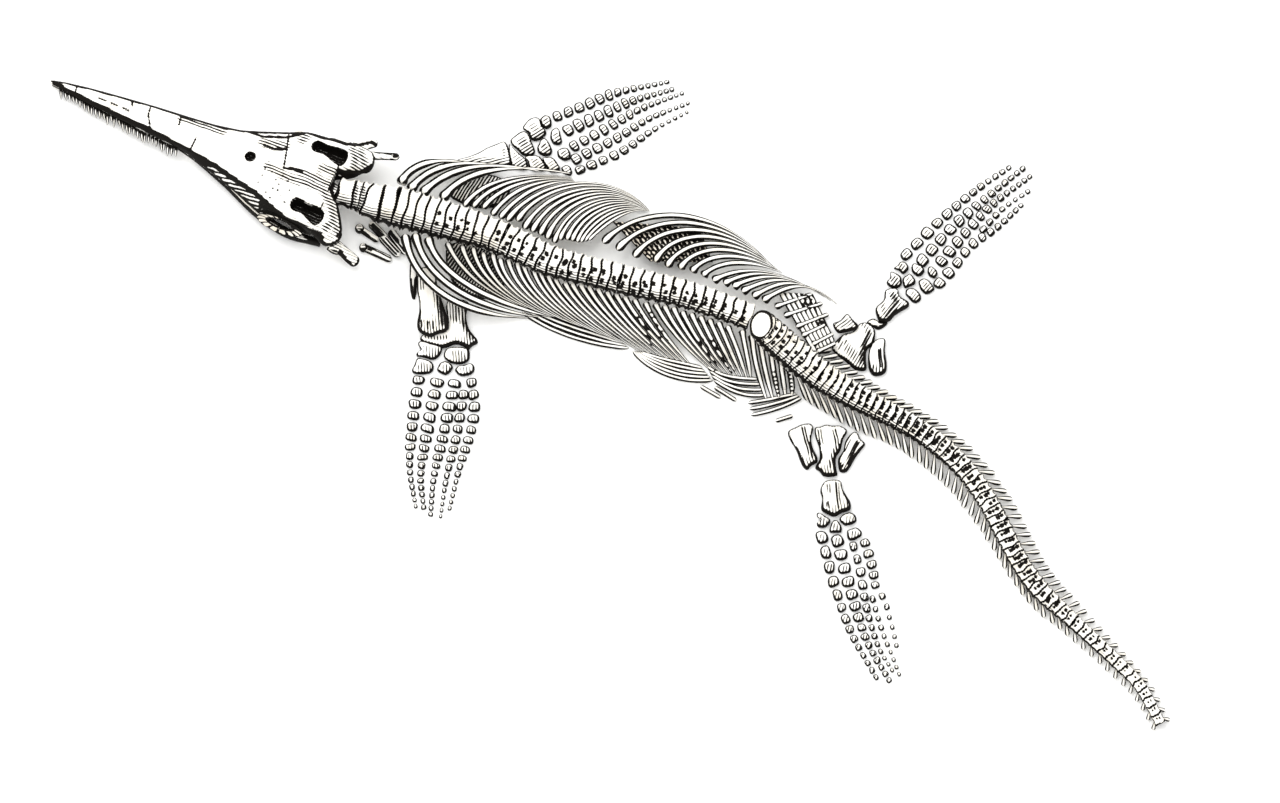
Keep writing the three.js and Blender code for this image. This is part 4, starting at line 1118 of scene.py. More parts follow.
def rib_fan(skin, fan):
    """Ribs side by side. Where they close up, each is narrowed to the room between its neighbours."""
    first, last = fan["first"], fan["last"]
    shares = np.arange(len(fan["heads"])) / (len(fan["heads"]) - 1)
    lines = [
        bezier(np.vstack([[head], blend_handles(first, last, share)]), RIB_SHARES)
        for head, share in zip(fan["heads"], shares)
    ]
    for i, line in enumerate(lines):
        ahead = unit(np.gradient(line, axis=0))
        room = [
            np.abs((other - line)[:, 0] * ahead[:, 1] - (other - line)[:, 1] * ahead[:, 0])
            for other in lines[max(i - 1, 0):i] + lines[i + 1:i + 2]
        ]
        rib(skin, line, np.min(room, axis=0) / 2, {**fan, "step": (i % 3) * RIB_STEP})


RIGHT_FANS = [
    {
        "heads": [(-478, 437), (-460, 423), (-436, 415), (-396, 405)],
        "first": [(-464, 477), (-400, 497), (-324, 471)], "last": [(-360, 459), (-280, 483), (-140, 457)],
        "thick": 6.5, "lift": 12, "low": 18, "least": 4.2,
    },
    {
        "heads": [(-352, 391), (-334, 389), (-314, 387), (-296, 373), (-280, 367)],
        "first": [(-320, 443), (-240, 463), (-136, 449)], "last": [(-240, 423), (-180, 445), (-130, 441)],
        "thick": 4.5, "lift": 0,
    },
    {
        "heads": [
            (-266, 361), (-246, 361), (-232, 345), (-216, 339), (-200, 333), (-186, 325), (-172, 317),
            (-160, 323), (-146, 323), (-136, 321), (-126, 319), (-118, 319), (-110, 321), (-102, 323),
        ],
        "first": [(-210, 447), (-56, 473), (20, 381)], "last": [(-74, 353), (-28, 387), (8, 383)],
        "thick": 4.2, "lift": 0, "club": 1.6,
    },
    {
        "heads": [
            (-74, 317), (-46, 303), (-12, 289), (30, 279), (54, 269), (80, 265), (104, 259), (126, 251),
        ],
        "first": [(0, 403), (170, 393), (262, 271)], "last": [(150, 279), (210, 291), (286, 257)],
        "thick": 4.6, "lift": 0, "tip": 0.6, "club": 1.6,
    },
    {
        "heads": [(146, 241), (168, 235), (186, 229), (204, 219), (226, 209), (246, 201)],
        "first": [(190, 267), (252, 273), (330, 233)], "last": [(290, 231), (336, 251), (396, 193)],
        "thick": 4.4, "lift": 0, "club": 1.7,
    },
]
LEFT_FANS = [
    {
        "heads": [(-470, 335), (-450, 337), (-424, 329)],
        "first": [(-456, 223), (-340, 167), (-220, 168)], "last": [(-408, 259), (-320, 203), (-176, 169)],
        "thick": 6, "lift": 14, "low": 3, "arch": 2.4, "least": 3.6,
    },
    {
        "heads": [
            (-386, 319), (-356, 313), (-334, 309), (-314, 299), (-294, 297), (-280, 287), (-264, 287),
            (-246, 279), (-234, 275), (-214, 267), (-200, 259), (-185, 253), (-171, 247),
        ],
        "first": [(-360, 253), (-280, 193), (-176, 175)], "last": [(-150, 203), (-100, 153), (-24, 113)],
        "thick": 4.4, "lift": 6, "low": 13,
    },
    {
        "heads": [
            (-151, 239), (-137, 237), (-120, 235), (-104, 231), (-86, 227), (-68, 221), (-50, 217),
            (-32, 211), (-12, 205), (10, 199),
        ],
        "first": [(-130, 193), (-80, 153), (3, 97)], "last": [(30, 153), (64, 113), (104, 70)],
        "thick": 4.4, "lift": 6, "low": 3,
    },
    {
        "heads": [
            (30, 197), (48, 193), (66, 189), (84, 181), (102, 177), (120, 171), (138, 165), (156, 159),
            (174, 151), (204, 143),
        ],
        "first": [(50, 153), (90, 107), (150, 55)], "last": [(210, 107), (218, 73), (222, 43)],
        "thick": 4.6, "lift": 6, "low": 3,
    },
    {
        "heads": [(224, 133), (240, 125), (262, 103), (282, 83), (298, 67)],
        "first": [(226, 93), (236, 53), (253, 3)], "last": [(302, 45), (306, 28), (303, 13)],
        "thick": 5, "lift": -10, "low": 4.5,
    },
]
BELLY_ROD = 4.5
# Painted shade on a belly rib's flanks.
BELLY_RIM = dict(start=0.30, full=0.46, lean=0.06, hatch=0.0)
# Belly ribs fused to the left fans: their number and the first and last one's bends.
LEFT_BUNDLES = {
    "ribs_left_1": (
        4, [(-236, 179), (-180, 139), (-100, 111), (-22, 107)],
        [(-190, 175), (-140, 159), (-90, 147), (-40, 121)],
    ),
    "ribs_left_3": (
        5, [(-14, 101), (20, 59), (80, 35), (146, 43)], [(0, 99), (40, 84), (90, 76), (124, 67)],
    ),
    "ribs_left_4": (
        4, [(136, 69), (158, 51), (190, 45), (236, 45)], [(148, 43), (190, 13), (220, 9), (248, 13)],
    ),
    "ribs_left_5": (
        3, [(216, -3), (260, 3), (290, 11), (312, 15)], [(222, -27), (270, -19), (300, -5), (322, 7)],
    ),
}


def ground_rod(skin, handles, thick, head=0.08, tip=0.08, rim=ROD_RIM):
    shares = close_stations(26)
    x, y = bezier(handles, shares).T
    width = thick * round_ends(shares, head, tip)
    sweep(skin, seen(x, y, width * 0.85), width, width * 0.85, 20, rim=rim, flat=2.4)


# Belly rods lie close together on a thin sheet, which lies under the cage and is painted black as painted
# shade between the rods.
SHEET_DEPTH = 3
SHEET_DROP = 11
SHEET_ROWS, SHEET_COLUMNS = 13, 40


def on_sheet(x, y, rise, reach):
    height = cage_height(np.atleast_1d(x), np.atleast_1d(y), reach) - SHEET_DROP
    return seen(x, y, np.maximum(height, SHEET_DEPTH) + rise)


def sheet_rods(skin, sheet, count, thick, shade_and_stain, reach):
    """Rods side by side from one edge of a sheet to the other, over a thin floor painted black as painted
    shade between them.
    """
    (a, b), (c, d) = (np.array(edge, float) for edge in sheet)
    across = np.linspace(0, 1, SHEET_COLUMNS)[:, None]
    rows = []
    for share in np.linspace(0, 1, SHEET_ROWS):
        x, y = lerp(lerp(a, b, across), lerp(c, d, across), share).T
        top = on_sheet(x, y, 0, reach)
        rows.append(np.vstack([top, (top - [0, 0, SHEET_DEPTH])[::-1]]))
    skin.rings(np.array(rows), shade_and_stain)
    for i in range(count):
        side = (i + 0.5) / count
        shares = close_stations(24)
        x, y = lerp(lerp(a, b, side), lerp(c, d, side), shares[:, None]).T
        width = thick * round_ends(shares, 0.04, 0.04)
        sweep(skin, on_sheet(x, y, 0.6, reach), width, width * 0.8, 16, rim=ROD_RIM)


def cross_lines(sheet, count):
    """Lines across the rods of a sheet."""
    (a, b), (c, d) = (np.array(edge, float) for edge in sheet)
    return [np.array([lerp(a, c, share), lerp(b, d, share)]) for share in (np.arange(count) + 0.5) / count]


for i, fan in enumerate(RIGHT_FANS):
    skin = Skin()
    rib_fan(skin, {**fan, "reach": CAGE_REACH_RIGHT})
    Bone(f"ribs_right_{i + 1}", skin).finish("bone_pale")

# Short gaps between the left ribs, painted black as painted shade, in rows like a ladder's: where each
# ladder runs in the photograph, its width in pixels and its number of gaps.
LADDERS = {
    "ribs_left_3": [((638, 312), (651, 344), 5, 8), ((649, 313), (665, 341), 6, 7)],
    "ribs_left_4": [((702, 341), (716, 370), 6, 8), ((712, 342), (732, 372), 6, 9)],
    "ribs_left_5": [((776, 372), (780, 393), 6, 6), ((787, 371), (790, 391), 6, 6)],
}
LADDER_SHARE = 0.8


def ladder(start, end, width, count):
    """The gaps of a ladder, as short lines across it."""
    start, end = from_photo([start])[0], from_photo([end])[0]
    ahead = unit(end - start)
    across = np.array([-ahead[1], ahead[0]]) * width * PIXEL / 2 * LADDER_SHARE
    return [np.array([spot - across, spot + across]) for spot in np.linspace(start, end, count)]


for i, fan in enumerate(LEFT_FANS):
    name = f"ribs_left_{i + 1}"
    skin = Skin()
    rib_fan(skin, {**fan, "reach": CAGE_REACH_LEFT})
    if name in LEFT_BUNDLES:
        count, first, last = LEFT_BUNDLES[name]
        for k in range(count):
            ground_rod(skin, blend_handles(first, last, k / (count - 1)), BELLY_ROD, rim=BELLY_RIM)
    bone = Bone(name, skin)
    for place in LADDERS.get(name, []):
        bone.mark(ladder(*place), 3.4, facing_up=-0.2)
    bone.finish("bone_pale")

LOOSE_RODS = [[(272, -39), (304, -29)], [(122, 30), (160, 8)], [(150, 28), (192, 2)]]
THIRDS = (0, 0.33, 0.67, 1)


def straight_handles(head, tip):
    return [lerp(np.array(head, float), np.array(tip, float), t) for t in THIRDS]


for i, (head, tip) in enumerate(LOOSE_RODS):
    skin = Skin()
    ground_rod(skin, straight_handles(head, tip), BELLY_ROD, 0.1, 0.1, BELLY_RIM)
    Bone(f"belly_rib_loose_{i + 1}", skin).finish("bone_warm")

# Belly ribs under the right side, front and rear, and the short ribs over the rear ones.
FRONT_SHEET = ([(-56, 361), (120, 347)], [(20, 281), (146, 279)])
REAR_SHEET = ([(276, 219), (346, 215)], [(348, 95), (389, 120)])
REAR_RIBS = [
    [(270, 189), (344, 215)], [(288, 171), (366, 197)], [(312, 149), (378, 175)], [(324, 131), (370, 153)],
    [(344, 113), (386, 135)], [(354, 99), (390, 116)],
]
REAR_RIB_WIDTH = 4.8
REAR_RIB_SWELL = ([0, 0.1, 0.22, 1], [1.6, 1.5, 1, 1])
REAR_RIB_RISE = 4.0

front = Skin()
sheet_rods(front, FRONT_SHEET, 14, 4.0, 1.0, CAGE_REACH_RIGHT)
front = Bone("belly_ribs_right", front)
front.mark(cross_lines(FRONT_SHEET, 9), 3.0, 0.8)
front.finish("bone_dark")
rear = Skin()
sheet_rods(rear, REAR_SHEET, 6, 6.0, 1.0, CAGE_REACH_RIGHT)
for head, tip in REAR_RIBS:
    shares = close_stations(30)
    x, y = bezier(straight_handles(head, tip), shares).T
    width = REAR_RIB_WIDTH * np.interp(shares, *REAR_RIB_SWELL) * round_ends(shares, 0.06, 0.08)
    centres = on_sheet(x, y, REAR_RIB_RISE, CAGE_REACH_RIGHT)
    sweep(rear, centres, width, width * 0.9, 24, rim=RIB_RIM, flat=2.4)
rear = Bone("ribs_right_6", rear)
rear.mark(cross_lines(REAR_SHEET, 13), 2.4, 0.6, under=17)
rear.finish("bone_pale")

# Flat bones: thickness, the height it lies at, its heading, and its outline as pixels of the
# photograph.
FLAT_BONES = {
    "clavicle": (6, 0, 90, CLAVICLE),
    "scapula_left": (12, 17, 95, [
        418, 268, 417, 280, 417, 290, 419, 300, 419, 311, 417, 322, 418, 329, 422, 333, 431, 336,
        438, 333, 445, 331, 449, 325, 444, 306, 438, 288, 433, 268,
    ]),
    "humerus_left": (16, 0, 95, [
        447, 300, 468, 301, 466, 314, 469, 328, 478, 341, 472, 345, 468, 349, 465, 346, 456, 343,
        443, 347, 431, 344, 421, 340, 420, 337, 424, 333, 436, 332, 447, 328,
    ]),
    "humerus_right": (14, 0, 15, [
        456, 159, 468, 155, 478, 151, 487, 146, 497, 142, 504, 140, 508, 146, 511, 163, 490, 166,
        470, 165,
    ]),
    "coracoid_left": (10, 0, 60, [448, 243.5, 490, 251.5, 506, 276.5, 495, 295.5, 473, 296.5, 451, 279.5]),
    "coracoid_right": (10, 0, 60, [448, 193, 457, 180, 485, 173, 505, 180, 509, 199, 480, 207]),
    "ilium_right": (12, 12, 40, [
        833, 323, 840, 320, 847, 313, 850, 315, 853, 319, 858, 324, 857, 328, 852, 330, 842, 332,
        838, 332,
    ]),
    "pubis_right": (12, 0, 60, [
        860, 323, 867, 322, 875, 329, 875, 337, 873, 344, 867, 349, 866, 358, 866, 369, 856, 369,
        846, 361, 836, 353, 832, 347, 838, 338, 845, 333, 853, 331,
    ]),
    "ischium_right": (14, 0, 95, [
        876, 339, 885, 338, 885, 350, 887, 365, 885, 372, 875, 375, 870, 371, 868, 359, 870, 347,
    ]),
    "hip_link_right": (9, 0, 0, [
        867, 322, 870, 319, 874, 318, 880, 321, 888, 322, 885, 326, 878, 329, 873, 326,
    ]),
    "pubis_left": (12, 0, 105, [
        788, 431, 797, 426, 801, 424, 810, 423, 813, 426, 811, 438, 813, 448, 817, 456, 817, 461,
        811, 465, 807, 469, 803, 466, 800, 460, 796, 449, 790, 439,
    ]),
    "ilium_left": (13, 0, 100, [
        815, 427, 820, 426, 826, 424, 832, 425, 840, 425, 847, 430, 843, 438, 840, 450, 836, 456,
        836, 468, 837, 474, 823, 475, 820, 471, 815, 467, 819, 459, 819, 447, 815, 435,
    ]),
    "ischium_left": (12, 0, 60, [
        851, 433, 855, 431, 858, 433, 860, 438, 865, 443, 861, 449, 855, 457, 850, 466, 846, 471,
        840, 471, 838, 465, 838, 458, 843, 450, 845, 441,
    ]),
    "femur_right": (18, 0, 50, [
        886, 289, 898, 288, 900, 295, 909, 301, 909, 305, 901, 310, 895, 314, 889, 320, 880, 320,
        877, 315, 876, 307, 884, 299,
    ]),
    "femur_left": (18, 0, 95, [
        824, 481, 829, 479, 838, 479, 841, 481, 842, 487, 847, 496, 850, 501, 850, 508, 842, 511,
        834, 515, 828, 513, 821, 508, 822, 497, 820, 489,
    ]),
}
# Lines along which a flat bone is darkened with painted shade, where it lies under the ribs or away from the
# light, both coracoids shaded whole: where they run in the photograph, width and strength.
FLAT_SHADE_MARKS = {
    "scapula_left": [
        ([438, 285, 441, 300, 444, 322], 12, 0.95), ([421, 270, 422, 288], 5, 0.62),
        ([422, 321, 422, 326], 4, 0.8), ([428, 322, 428, 328], 3, 1), ([433, 322, 433, 328], 3, 1),
        ([424, 333, 432, 335, 442, 333, 448, 328], 3, 1),
    ],
    "humerus_left": [
        ([456, 300, 455, 316], 14, 0.72), ([464, 304, 463, 322, 471, 338], 7, 0.8),
        ([425, 336, 436, 338, 446, 337], 5, 0.62), ([448, 343, 458, 342, 467, 346], 2, 0.8),
    ],
    "humerus_right": [([466, 161, 485, 160, 503, 161], 8, 0.62), ([503, 148, 504, 160], 4, 0.5)],
    "coracoid_left": [([454, 262, 496, 270], 60, 0.8)],
    "coracoid_right": [([452, 188, 504, 190], 60, 0.72)],
    "ilium_right": [([838, 325, 850, 322], 9, 0.55)],
    "pubis_right": [
        ([869, 332, 866, 340, 862, 352, 861, 362], 6, 0.9), ([848, 348, 856, 358, 862, 366], 12, 0.55),
        ([864, 325, 869, 330], 6, 0.55), ([838, 341, 842, 334, 852, 331], 4, 1),
        ([838, 348, 846, 341], 4, 0.6),
    ],
    "ischium_right": [([880, 350, 880, 358, 881, 366], 4, 1), ([872, 366, 878, 371], 5, 0.6)],
    "pubis_left": [([803, 429, 806, 441, 812, 456], 6, 0.8)],
    "ilium_left": [
        ([819, 431, 821, 443], 5, 0.66), ([835, 431, 837, 446, 832, 458, 830, 466], 6, 0.7),
        ([814, 437, 818, 448, 819, 458], 4, 1), ([825, 474, 834, 474], 4, 1),
    ],
    "ischium_left": [
        ([857, 443, 851, 455, 848, 463], 5, 0.95), ([849, 438, 845, 450], 5, 0.6), ([841, 466], 6, 1),
    ],
    "femur_right": [([893, 295, 897, 302, 887, 315], 7, 0.85), ([882, 302, 884, 312], 6, 0.55)],
    "femur_left": [
        ([828, 485, 829, 491], 4, 0.7), ([836, 484, 837, 495, 838, 507], 5, 0.8),
        ([827, 502, 828, 507], 3, 0.9),
    ],
}
PLATE_VOXEL = 1.6
# How far in from its edge a flat bone is still thinned, and the share of its thickness at the edge.
PLATE_EDGE = 8.0
PLATE_EDGE_SHARE = 0.45
# How wide its edge is darkened with painted shade away from the light and towards it.
FLAT_EDGE_SHADE = (6.0, 3.0)
FLAT_STRENGTH = 0.82
FLAT_SPREAD = 1.9


def smooth_outline(outline, parts=4):
    """A closed outline through its corners, softly bent."""
    corners = np.asarray(outline, float)
    ring = np.vstack([corners[-2:], corners, corners[:3]])
    curve = Curve(ring)
    first, last = 2 / (len(ring) - 1), (len(corners) + 2) / (len(ring) - 1)
    return curve.at(np.linspace(first, last, len(corners) * parts + 1)[:-1])


def flat_bone(name, outline, thickness, base, heading):
    rim = smooth_outline(outline)
    top = seen(rim[:, 0], rim[:, 1], base + thickness)
    low = top.copy()
    low[:, 2] = base
    skin = Skin()
    skin.rings(np.array([low, top]))
    bone = Bone(name, mesh=remeshed(skin_mesh(skin), PLATE_VOXEL), heading=math.radians(heading))
    inside = near_line(bone.points[:, :2], np.vstack([top[:, :2], top[:1, :2]]))
    crown = np.sqrt(1 - (1 - np.clip(inside / PLATE_EDGE, 0, 1)) ** 2)
    share = (bone.points[:, 2] - base) / thickness
    bone.points[:, 2] = base + thickness * share * lerp(PLATE_EDGE_SHARE, 1.0, crown)
    bone.write()
    # Painted shade round the edge, wider away from the light.
    lit = unit(bone.points - bone.points.mean(0)) @ LIGHT_SIDE
    ink = lerp(*FLAT_EDGE_SHADE, ease(-0.6, 0.4, lit))
    bone.shade_and_stain = ease(ink * 1.2, ink * 0.75, inside)
    return bone


for name, (thickness, base, heading, outline) in FLAT_BONES.items():
    bone = flat_bone(name, from_photo(outline), thickness, base, heading)
    bone.shade(0.6, 0.35, lean=0.1, hatch=0.45)
    for line, half_width, strength in FLAT_SHADE_MARKS.get(name, []):
        bone.mark([from_photo(line)], half_width * FLAT_SPREAD, 0.0, FLAT_STRENGTH * strength, core=0.1)
    bone.finish("bone_pale")

# Paddles. Rounded stones for the wrist or ankle, and five digits of smaller ones.
STONE_HEIGHT = 12
STONE_SIDES = 28
# Where the rings of a stone lie between its middle and its outline. The last runs in underneath.
STONE_SPREAD = np.array([0.04, 0.3, 0.48, 0.6, 0.7, 0.78, 0.85, 0.91, 0.96, 1.0, 0.97])
STONE_EDGE_SHARE = 0.35
# How wide a stone's edge is darkened with painted shade away from the light and towards it, and a full-sized
# one's reach.
STONE_EDGE_SHADE = (4.6, 3.4)
STONE_FULL_REACH = 11
# Painted shade hatching on the side away from the light, and the range of the hatching in the middle.
STONE_SHADE_HATCH = 0.56
STONE_CORE = (0.36, 0.5)
WRIST_SPREAD = 1.07


def stone(skin, rim, height, heading):
    """A stone over a closed outline. Its rim is darkened with painted shade more widely away from the light.
    """
    middle = rim.mean(0)
    reach = rim - middle
    place = seen(middle[0], middle[1], height * 0.5)
    spread = STONE_SPREAD[:, None]
    rise = STONE_EDGE_SHARE + (1 - STONE_EDGE_SHARE) * np.sqrt(np.clip(1 - spread**4, 0, 1))
    rise[-1] = 0
    x, y = spread * reach[:, 0], spread * reach[:, 1]
    z = np.broadcast_to(rise * height, x.shape)
    points = np.stack([place[0] + x, place[1] + y, z], -1)
    away = (1 - spread) * np.linalg.norm(reach, axis=1)
    lit = (x * LIGHT_SIDE[0] + y * LIGHT_SIDE[1]) / np.linalg.norm(reach, axis=1).max()
    small = min(1.0, np.linalg.norm(reach, axis=1).mean() / STONE_FULL_REACH)
    ink = lerp(*STONE_EDGE_SHADE, np.clip(lit + 0.5, 0, 1)) * lerp(0.2, 1, small)
    core = DRAW.uniform(*STONE_CORE) * ease(0.72, 0.4, spread)
    hatch = np.maximum(STONE_SHADE_HATCH * ease(0.5, -0.7, lit), core)
    shade_and_stain = np.maximum(ease(ink * 1.15, ink * 0.75, away), hatch)
    # The underside is painted black as painted shade.
    shade_and_stain[-2:] = 1
    c, s = math.cos(heading), math.sin(heading)
    grain = np.stack([x * c + y * s, y * c - x * s, np.full(x.shape, DRAW.uniform(0, GRAIN_SPREAD))], -1)
    skin.rings(points, shade_and_stain, grain)


def digit_outline(place, length, width, heading, square=2.9):
    """A squarish outline, a little uneven."""
    turn = angles_round(STONE_SIDES)
    reach = (np.abs(np.cos(turn)) ** square + np.abs(np.sin(turn)) ** square) ** (-1 / square)
    waves = [share * np.sin(k * turn + DRAW.uniform(0, 6)) for k, share in ((2, 0.05), (3, 0.04))]
    reach = reach * (1 + waves[0] + waves[1])
    x, y = reach * np.cos(turn) * length / 2, reach * np.sin(turn) * width / 2
    c, s = math.cos(heading), math.sin(heading)
    return np.stack([place[0] + x * c - y * s, place[1] + x * s + y * c], -1)


# How the spacing and the size of a digit's stones fall off along it, how much of its pitch a stone
# may fill and how long it may be for its breadth.
SPACING_ALONG = [1, 1, 0.95, 0.86, 0.76, 0.68, 0.62, 0.58, 0.54, 0.5]
FORE_SIZES = [1, 1, 0.97, 0.92, 0.82, 0.62, 0.5, 0.43, 0.39, 0.35]
HIND_SIZES = [1, 1, 0.95, 0.88, 0.78, 0.68, 0.6, 0.53, 0.48, 0.45]
STONE_FILL = 0.82
LONGEST_STONE = 1.12
DIGIT_HEIGHTS = (9, 5)


def digit(skin, grain_heading, sizes, route, count, width, begin=0.0, end=1.0):
    """Stones from one end of a route to the other, the first and last with their middles on its ends.
    A short digit begins or ends part of the way along the fall-off."""
    curve = Curve([(x, y, 0) for x, y in route])
    index = np.linspace(begin, end, count)
    steps = read_at(SPACING_ALONG, index)
    places = np.concatenate([[0], np.cumsum((steps[:-1] + steps[1:]) / 2)])
    pitch = curve.length / places[-1]
    for share, step, at in zip(index, steps, places / places[-1]):
        t = curve.t_of(np.array(at))
        spot, ahead = curve.at(t), curve.heading(t)
        breadth = width * read_at(sizes, share) * DRAW.uniform(0.88, 1.08)
        length = min(step * pitch * STONE_FILL, breadth * LONGEST_STONE) * DRAW.uniform(0.9, 1.06)
        heading = math.atan2(ahead[1], ahead[0]) + DRAW.uniform(-0.15, 0.15)
        outline = digit_outline(spot[:2], length, breadth, heading)
        stone(skin, outline, lerp(*DIGIT_HEIGHTS, share), grain_heading)


# Each paddle: the heading of its grain, its wrist or ankle stones as pixels of the photograph, and its
# digits: route as seen, number of stones, breadth, and where a short one begins and ends along the
# fall-off.
PADDLES = {
    "paddle_fore_right": (35, [
        [
            522, 127, 529, 118, 535, 116, 539, 117, 541, 125, 545, 129, 546, 133, 540, 138, 535, 140,
            531, 139, 529, 132, 525, 129,
        ],
        [
            510, 139, 514, 136, 520, 131, 525, 130, 529, 135, 531, 142, 534, 148, 534, 153, 527, 155,
            522, 154, 518, 149, 512, 144,
        ],
        [509, 142, 512, 147, 519, 153, 525, 158, 527, 163, 526, 169, 519, 169, 511, 165, 509, 155],
        [541, 138, 545, 137, 549, 143, 552, 150, 550, 154, 544, 155, 538, 152, 537, 146, 539, 143],
        [524, 156, 534, 154, 540, 156, 543, 161, 546, 167, 544, 170, 532, 170, 528, 166, 528, 160],
        [542, 157, 550, 156, 554, 158, 557, 163, 560, 167, 558, 171, 549, 171, 545, 164],
        [561, 167, 566, 164, 570, 166, 572, 172, 570, 175, 563, 172],
        [540, 118, 544, 114, 549, 115, 551, 120, 551, 125, 546, 128, 541, 124],
        [551, 130, 556, 126, 559, 129, 560, 134, 562, 141, 559, 144, 553, 143, 550, 137],
        [557, 150, 562, 147, 567, 147, 570, 152, 570, 158, 564, 160, 558, 156],
    ], [
        ([(-166, 573), (-110, 595), (-52, 619), (54, 642)], 14, 25),
        ([(-144, 545), (-80, 575), (-24, 601), (64, 627)], 14, 29),
        ([(-132, 513), (-70, 547), (0, 587), (84, 619)], 15, 23),
        ([(-128, 487), (-46, 529), (16, 567), (96, 599)], 15, 22),
        ([(-120, 465), (-38, 501), (26, 545), (94, 581)], 14, 20),
    ]),
    "paddle_fore_left": (92, [
        [
            420, 341, 427, 342, 431, 344, 440, 345, 442, 348, 440, 354, 437, 358, 432, 360, 425, 357,
            420, 356, 417, 357, 416, 353, 419, 351, 422, 351, 421, 348, 418, 345, 418, 342,
        ],
        [
            446, 349, 452, 347, 460, 347, 466, 348, 469, 350, 469, 360, 464, 363, 458, 364, 452, 363,
            447, 360, 444, 357, 445, 352,
        ],
        [
            417, 358, 424, 359, 430, 361, 433, 364, 433, 370, 430, 373, 422, 374, 413, 373, 412, 370,
            415, 365,
        ],
        [437, 370, 440, 363, 445, 361, 450, 363, 453, 367, 450, 372, 446, 375, 441, 373],
        [455, 370, 458, 366, 465, 365, 471, 363, 474, 366, 474, 371, 471, 374, 464, 376, 459, 375],
    ], [
        ([(-443, 43), (-454, -37), (-460, -133), (-448, -209)], 15, 25),
        ([(-406, 38), (-426, -61), (-438, -151), (-432, -211)], 15, 29),
        ([(-371, 36), (-392, -61), (-412, -153), (-418, -225)], 16, 26),
        ([(-353, 14), (-368, -75), (-386, -149), (-398, -229)], 15, 21),
        ([(-337, 38), (-331, -10), (-337, -55), (-360, -130), (-380, -213)], 15, 23),
    ]),
    "paddle_hind_right": (50, [
        [
            891, 271, 896, 273, 901, 276, 902, 282, 901, 286, 896, 288, 891, 287, 887, 283, 888, 280,
            891, 279,
        ],
        [894, 268, 899, 265, 900, 262, 904, 261, 908, 264, 909, 269, 906, 272, 903, 274, 900, 270],
        [904, 277, 908, 275, 910, 273, 914, 277, 916, 281, 915, 284, 910, 286, 905, 288, 903, 281],
        [907, 289, 914, 288, 918, 291, 921, 295, 921, 300, 916, 303, 912, 301, 909, 297, 906, 294],
        [914, 263, 918, 264, 923, 266, 925, 271, 922, 275, 918, 276, 913, 272, 912, 267],
        [919, 281, 924, 278, 929, 280, 933, 285, 935, 289, 930, 293, 926, 294, 921, 289],
        [929, 267, 932, 266, 937, 270, 938, 274, 935, 278, 930, 276, 928, 272],
    ], [
        ([(534, 295), (604, 365), (678, 427), (740, 469)], 13, 24),
        ([(566, 283), (630, 353), (698, 411), (768, 467)], 14, 26),
        ([(604, 281), (648, 333), (702, 391), (782, 451)], 14, 25),
        ([(688, 345), (728, 387), (778, 421)], 8, 21, 0.5),
        ([(600, 237), (634, 275), (664, 313), (716, 349), (764, 393)], 12, 24),
    ]),
    "paddle_hind_left": (78, [
        [
            818, 512, 822, 514, 826, 517, 830, 519, 829, 523, 825, 527, 818, 527, 816, 523, 819, 521,
            822, 521, 821, 518, 817, 517, 816, 514,
        ],
        [833, 520, 837, 520, 841, 526, 841, 532, 829, 532, 830, 526],
        [839, 519, 843, 514, 850, 512, 855, 515, 856, 521, 851, 524, 845, 525, 842, 523],
        [847, 530, 856, 527, 861, 531, 861, 535, 855, 539, 849, 540, 847, 537],
    ], [
        ([(363, -271), (388, -367), (422, -463), (470, -549)], 14, 24),
        ([(394, -278), (418, -369), (452, -477), (496, -555)], 15, 27),
        (
            [(426, -289), (440, -339), (446, -381), (453, -417), (465, -460), (478, -495), (502, -535)],
            14, 18.5,
        ),
        ([(449, -282), (463, -328), (469, -366)], 5, 21, 0.0, 0.35),
        ([(464, -394), (476, -436), (488, -472), (501, -503), (516, -543)], 10, 17, 0.5),
        ([(483, -388), (493, -412), (498, -434), (504, -454), (511, -486)], 6, 18, 0.55),
    ]),
}

for name, (turned, stones, digits) in PADDLES.items():
    skin = Skin()
    grain_heading = math.radians(turned)
    for outline in stones:
        rim = even_ring(from_photo(outline), STONE_SIDES, 1)
        rim = lerp(rim.mean(0), rim, WRIST_SPREAD)
        stone(skin, rim, STONE_HEIGHT, grain_heading)
    sizes = FORE_SIZES if "fore" in name else HIND_SIZES
    for row in digits:
        digit(skin, grain_heading, sizes, *row)
    Bone(name, skin).finish("bone_pale")

# Small bones beside the neck: rods with a round head, and flat ribs.
NECK_BONES = {
    "hyoid_front": ((-562, 347), (-526, 323), 7),
    "hyoid_rear": ((-554, 309), (-500, 284), 8),
    "neck_rib_1": ((-540, 357), (-510, 327), 8.5),
    "neck_rib_2": ((-518, 330), (-484, 294), 9.5),
    "neck_rib_3": ((-500, 341), (-468, 298), 9.5),
}
# Dark lines along them, as pixels of the photograph, with their half width and strength.
NECK_MARKS = {
    "hyoid_front": [([363, 233, 367, 236], 8, 1.0), ([367, 236, 376, 242], 5, 0.62)],
    "hyoid_rear": [([367, 245, 371, 248], 8, 1.0), ([371, 248, 390, 257], 5, 0.62)],
    "neck_rib_1": [([372, 225, 384, 238], 6.5, 1.0)],
    "neck_rib_2": [([381, 238, 396, 254], 3, 1.0), ([385, 238, 398, 252], 3.5, 0.8)],
    "neck_rib_3": [([389, 231, 397, 241], 6, 1.0), ([397, 241, 403, 250], 6, 0.6)],
}
KNOBS = {"hyoid_front": 9.5, "hyoid_rear": 9}

# Painted shade on the neck bones' flanks, hatched on the side away from the light.
NECK_RIM = dict(start=0.54, full=0.76, lean=0.12, hatch=0.5)

